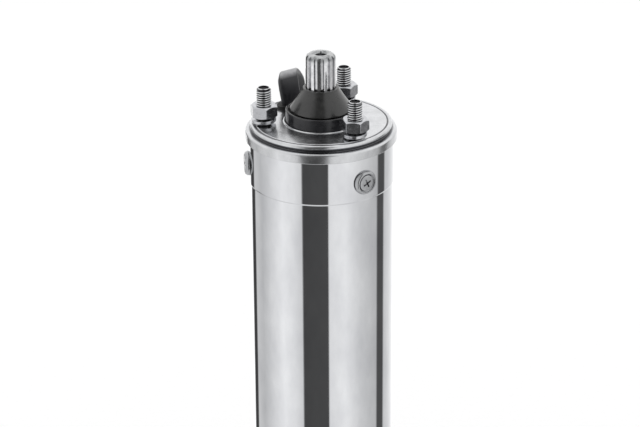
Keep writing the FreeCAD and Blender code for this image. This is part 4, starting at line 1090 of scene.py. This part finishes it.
def oval_screw(seat, level):
    """One raised countersunk screw, pointing at the shaft, with a cross recess whose wings
    slope to its middle."""
    top = seat + HEAD_HEIGHT
    wing_size, wing_slope, recess_turn = (2.5, 0.85, 2.4), 14, 25
    mesh = spun(
        [
            (0, seat - 10.0),
            (3.0, seat - 10.0, 0.4),
            (3.0, seat + 0.5),
            (4.3, top - 0.9, 0.12),
            (4.3, top - 0.3, 0.25),
            (3.2, top - 0.05, 0.6),
            (1.2, top),
            (0, top),
        ],
        steps=64,
        closed=False,
    )
    cutters = bmesh.new()
    for quarter in range(4):
        wing = bmesh.ops.create_cube(cutters, size=1)["verts"]
        bmesh.ops.scale(cutters, vec=wing_size, verts=wing)
        bmesh.ops.translate(cutters, vec=(1.15, 0, top), verts=wing)
        turn(cutters, "Y", math.radians(wing_slope), wing, (0, 0, top))
        turn(cutters, "Z", math.radians(90 * quarter + recess_turn), wing)
    return laid_out(cut_by(mesh, cutters, "screw"), level)


def cup_washer(seat, level):
    """One pressed cup washer round its screw's head, rolled at the foot and lip."""
    top = seat + HEAD_HEIGHT
    mesh = spun(
        [
            (3.05, seat),
            (6.6, seat - 0.25),
            (6.6, seat + 0.6, 0.35),
            (5.75, top, 0.55),
            (4.95, top, 0.25),
            (4.9, top - 0.6),
            (3.2, seat + 0.5),
        ],
        steps=64,
    )
    return laid_out(mesh, level)


for place, seat, level in (
    ("upper", BAND_RADIUS, UPPER_SCREWS),
    ("lower", TUBE_RADIUS, LOWER_SCREWS),
):
    piece(
        place + "_oval_screws", copied_round(oval_screw(seat, level)), SCREW_STEEL,
        "motor_housing", "bright_fastener", place + "_screws", smooth=35,
    )
    piece(
        place + "_rolled_cups", copied_round(cup_washer(seat, level)), SCREW_STEEL,
        "motor_housing", "bright_fastener", place + "_cup_washers", smooth=40,
    )


# Diaphragm and its spring


def copied(name):
    """A CAD node's mesh in millimetres, its loose triangles joined."""
    mesh = bmesh.new()
    mesh.from_mesh(nodes[name].data)
    bmesh.ops.scale(mesh, vec=(1 / MM, 1 / MM, 1 / MM), verts=mesh.verts)
    bmesh.ops.remove_doubles(mesh, verts=mesh.verts, dist=0.002)
    return mesh


# For the rubber, from its clamped rim to its middle, and the spring, from end to end: two bodies
# and where a blend between them would start and end, which piece doesn't use to blend.
RUBBER_FOLLOWS = ("motor_housing", "diaphragm_piston", (0, 0, 0.0101), (0, 0, 0.0149))
SPRING_FOLLOWS = ("motor_housing", "diaphragm_piston", (0, 0, 0.0045), (0, 0, 0.012))

piece(
    "moulded_diaphragm", copied("diaphragm"), RUBBER, RUBBER_FOLLOWS, "black_rubber",
    "diaphragm", smooth=30,
)
piece(
    "coiled_return_spring", copied("diaphragm_spring"), SPRING, SPRING_FOLLOWS, "spring_steel",
    "diaphragm_spring", smooth=40,
)


# Lead


def route_spline(name, points):
    """The lead's route in metres as one NURBS curve of order 3."""
    curve = bpy.data.curves.new(name, "CURVE")
    curve.dimensions = "3D"
    spline = curve.splines.new("NURBS")
    spline.points.add(len(points) - 1)
    for point, place in zip(spline.points, points):
        point.co = (*place, 1)
    spline.order_u = 3
    spline.use_endpoint_u = True
    spline.resolution_u = 12
    return curve


def followed(curve):
    """The points that a curve with no bevel runs through."""
    holder = bpy.data.objects.new(curve.name, curve)
    bpy.context.scene.collection.objects.link(holder)
    bpy.context.view_layer.update()
    line = bpy.data.meshes.new_from_object(holder)
    run = [vert.co.copy() for vert in line.vertices]
    bpy.data.meshes.remove(line)
    bpy.data.objects.remove(holder)
    return run


LEAD_ROUTE = [
    (-0.0131, 0.0238, 0.3616),
    (-0.0158, 0.0222, 0.3762),
    (-0.0134, 0.0325, 0.3766),
    (-0.0092, 0.0442, 0.3658),
    (-0.0104, 0.0482, 0.34596),
    (-0.0108, 0.0498, 0.31104),
    (-0.0114, 0.0486, 0.24516),
    (-0.0124, 0.0476, 0.17496),
    (-0.012, 0.0488, 0.11196),
    (-0.009, 0.0506, 0.06588),
    (0.001, 0.0528, 0.03312),
    (0.02, 0.0554, 0.01188),
    (0.042, 0.0569, 0.00641),
]
COIL_CENTRE = (0.044, 0.126)
COIL_FIRST, COIL_LAST = 0.0692, 0.0563
COIL_TURNS = 2.9
COIL_POINTS = 16
FLOOR_GAP = 0.0001
LEAD_WIDTH, LEAD_THICK = 12.3, 3.6
CORES_START = (0.01315, 0.08354)


def lead_points():
    """Down the motor's back, then wound on edge inwards into a round coil on the floor, up to
    where the CAD's bare cores start."""
    points = list(LEAD_ROUTE)
    count = round(COIL_TURNS * COIL_POINTS)
    for step in range(2, count + 1):
        share = step / count
        bearing = math.radians(-90) + math.tau * COIL_TURNS * share
        radius = COIL_FIRST + (COIL_LAST - COIL_FIRST) * share
        points.append(
            (
                COIL_CENTRE[0] + radius * math.cos(bearing),
                COIL_CENTRE[1] + radius * math.sin(bearing),
                LEAD_WIDTH / 2 * MM + FLOOR_GAP,
            )
        )
    points[-1] = (*CORES_START, points[-1][2])
    return points


def lead_width_at(gone, along):
    """Which way the flat lead's width lies after gone metres: round the shaft at the gland,
    across the motor's back on the way down, and upright in the coil."""
    gland = Vector((math.cos(math.radians(30)), math.sin(math.radians(30)), 0))
    across, upright = Vector((1, 0, 0)), Vector((0, 0, 1))
    keys = [(0, gland), (0.026, gland), (0.07, across), (0.33, across), (0.43, upright)]
    wanted = upright
    for (start, first), (end, last) in zip(keys, keys[1:]):
        if start <= gone < end:
            wanted = first.lerp(last, (gone - start) / (end - start))
    squared = min(1, max(0, (gone - 0.03) / 0.04))
    return (wanted - squared * wanted.dot(along) * along).normalized()


def lead_frames(run):
    """At each point of the run, a frame with the lead's width on X, thickness on Y, way on Z."""
    gone, frames = 0.0, []
    for number, point in enumerate(run):
        before, after = run[max(number - 1, 0)], run[min(number + 1, len(run) - 1)]
        gone += (point - before).length if number else 0
        along = (after - before).normalized()
        width = lead_width_at(gone, along)
        thick = along.cross(width).normalized()
        frames.append(
            Matrix.Translation(point / MM)
            @ Matrix((width, thick, along)).transposed().to_4x4()
        )
    return frames


def flat_lead(run):
    """The jacket's stadium section, drawn out along the run. Rounded corners come in no fixed
    order, so they are put in the order round the section, which is the same in each run."""
    mesh = bmesh.new()
    half, round_off = LEAD_WIDTH / 2, LEAD_THICK / 2
    corners = [(-half, -round_off), (half, -round_off), (half, round_off), (-half, round_off)]
    verts = [mesh.verts.new((across, through, 0)) for across, through in corners]
    section = mesh.faces.new(verts)
    eased(mesh, section.verts[:], round_off * 0.98, 5)
    mesh.verts.sort(key=lambda vert: math.atan2(vert.co.y, vert.co.x))
    mesh.edges.sort(key=lambda edge: math.atan2(*(edge.verts[0].co + edge.verts[1].co).yx))
    frames = lead_frames(run)
    bmesh.ops.transform(mesh, matrix=frames[0], verts=mesh.verts)
    loop = mesh.edges[:]
    for last, following in zip(frames, frames[1:]):
        drawn = bmesh.ops.extrude_edge_only(mesh, edges=loop)["geom"]
        loop = only(bmesh.types.BMEdge, drawn)
        moved = only(bmesh.types.BMVert, drawn)
        bmesh.ops.transform(mesh, matrix=following @ last.inverted(), verts=moved)
    bmesh.ops.edgeloop_fill(mesh, edges=loop)
    tidied(mesh)
    return mesh


run = followed(route_spline("lead_way", lead_points()))
lead = piece(
    "flat_lead", flat_lead(run), JACKET, "motor_housing", "lead_jacket",
    "lead_tube", "lead_coil", smooth=50,
)


# Floor, light and camera

floor = bmesh.new()
bmesh.ops.create_grid(floor, x_segments=1, y_segments=1, size=30)
floor_data = bpy.data.meshes.new("studio_floor")
floor.to_mesh(floor_data)
floor.free()
studio_floor = bpy.data.objects.new("studio_floor", floor_data)
bpy.context.scene.collection.objects.link(studio_floor)
studio_floor.visible_glossy = False


def studio_paper():
    """White background paper, evenly lit, with its faint fibre."""
    finish, tree, surface, place = finish_named("studio_paper", Roughness=0.9)
    fibre = grain(tree, place, 3, (1, 1, 1), 4)
    feed(tree, surface, Base_Color=tints(tree, fibre, (0.3, "#fafafa"), (0.7, "#fcfcfc")))
    surface.inputs["Specular IOR Level"].default_value = 0.1
    return finish


floor_data.materials.append(studio_paper())

# What the bright pieces mirror, as pairs of degrees round the room and shade: white paper that
# brightens and darkens slowly from side to side, with three black flags standing before it.
BELOW_HORIZON = [
    (-180, "#fafafa"), (-152, "#ebebeb"), (-149, "#3a3a3a"), (-136, "#3a3a3a"),
    (-133, "#bebebe"), (-112, "#b6b6b6"), (-86, "#d2d2d2"), (-66, "#e4e4e4"),
    (-46, "#dadada"), (-32, "#c8c8c8"), (-30.5, "#424242"), (10, "#464646"), (11.5, "#d7d7d7"),
    (39, "#e0e0e0"), (66, "#c6c6c6"), (99, "#b0b0b0"), (102, "#4a4a4a"),
    (117, "#4a4a4a"), (121, "#bebebe"), (140, "#d0d0d0"), (160, "#e2e2e2"), (180, "#f2f2f2"),
]
ABOVE_HORIZON = [
    (-180, "#e2e2e2"), (-120, "#d6d6d6"), (-50, "#d8d8d8"), (-32, "#a0a0a0"), (-22, "#5a5a5a"),
    (14, "#5a5a5a"), (26, "#dadada"), (120, "#dcdcdc"), (180, "#e2e2e2"),
]


def studio_light(camera_bearing):
    """A white room whose panels and openings show only as streaks in what mirrors them."""
    world = bpy.data.worlds.new("studio_room")
    bpy.context.scene.world = world
    world.use_nodes = True
    tree = world.node_tree
    tree.nodes.clear()
    way = add(tree, "TexCoord").outputs["Generated"]
    turned = add(tree, "Mapping", Vector=way, Rotation=(0, 0, math.radians(90) - camera_bearing))
    around = add(tree, "TexGradient", {"gradient_type": "RADIAL"}, Vector=turned.outputs[0])
    shades = []
    for stops in (BELOW_HORIZON, ABOVE_HORIZON):
        places = [(degrees / 360 + 0.5, shade) for degrees, shade in stops]
        shades.append(tints(tree, around.outputs["Fac"], *places))
    height = add(tree, "SeparateXYZ", Vector=way).outputs["Z"]
    walls = mixed(tree, between(tree, height, 0, 1, -0.05, 0.1), *shades)
    room = mixed(tree, between(tree, height, 1, 0, -0.8, -0.62), walls, linear("#cfcfcf"))
    streaks = add(tree, "Background", Color=room, Strength=1.6).outputs[0]
    white = add(tree, "Background", Color=linear("#ffffff"), Strength=1.05).outputs[0]
    glossy = add(tree, "LightPath").outputs["Is Glossy Ray"]
    light = add(tree, "MixShader", _0=glossy, _1=white, _2=streaks).outputs[0]
    add(tree, "OutputWorld", Surface=light)


CAMERA_BEARING = math.radians(-5.8)
CAMERA_RISE, CAMERA_ROLL = math.radians(23.3), math.radians(-0.37)
CAMERA_AIM, CAMERA_DISTANCE = (-0.85, 0, PLATE - 53.38), 1.4
camera_data = bpy.data.cameras.new("camera")
camera_data.sensor_width = 36
camera_data.lens = 147.52
camera_data.clip_end = 100
camera = bpy.data.objects.new("camera", camera_data)
bpy.context.scene.collection.objects.link(camera)
camera.matrix_world = (
    Matrix.Rotation(CAMERA_BEARING, 4, "Z")
    @ Matrix.Translation(Vector(CAMERA_AIM) * MM)
    @ Matrix.Rotation(math.radians(90) - CAMERA_RISE, 4, "X")
    @ Matrix.Rotation(CAMERA_ROLL, 4, "Z")
    @ Matrix.Translation((0, 0, CAMERA_DISTANCE))
)
bpy.context.scene.camera = camera
studio_light(CAMERA_BEARING)
bpy.context.scene.view_settings.view_transform = "Standard"
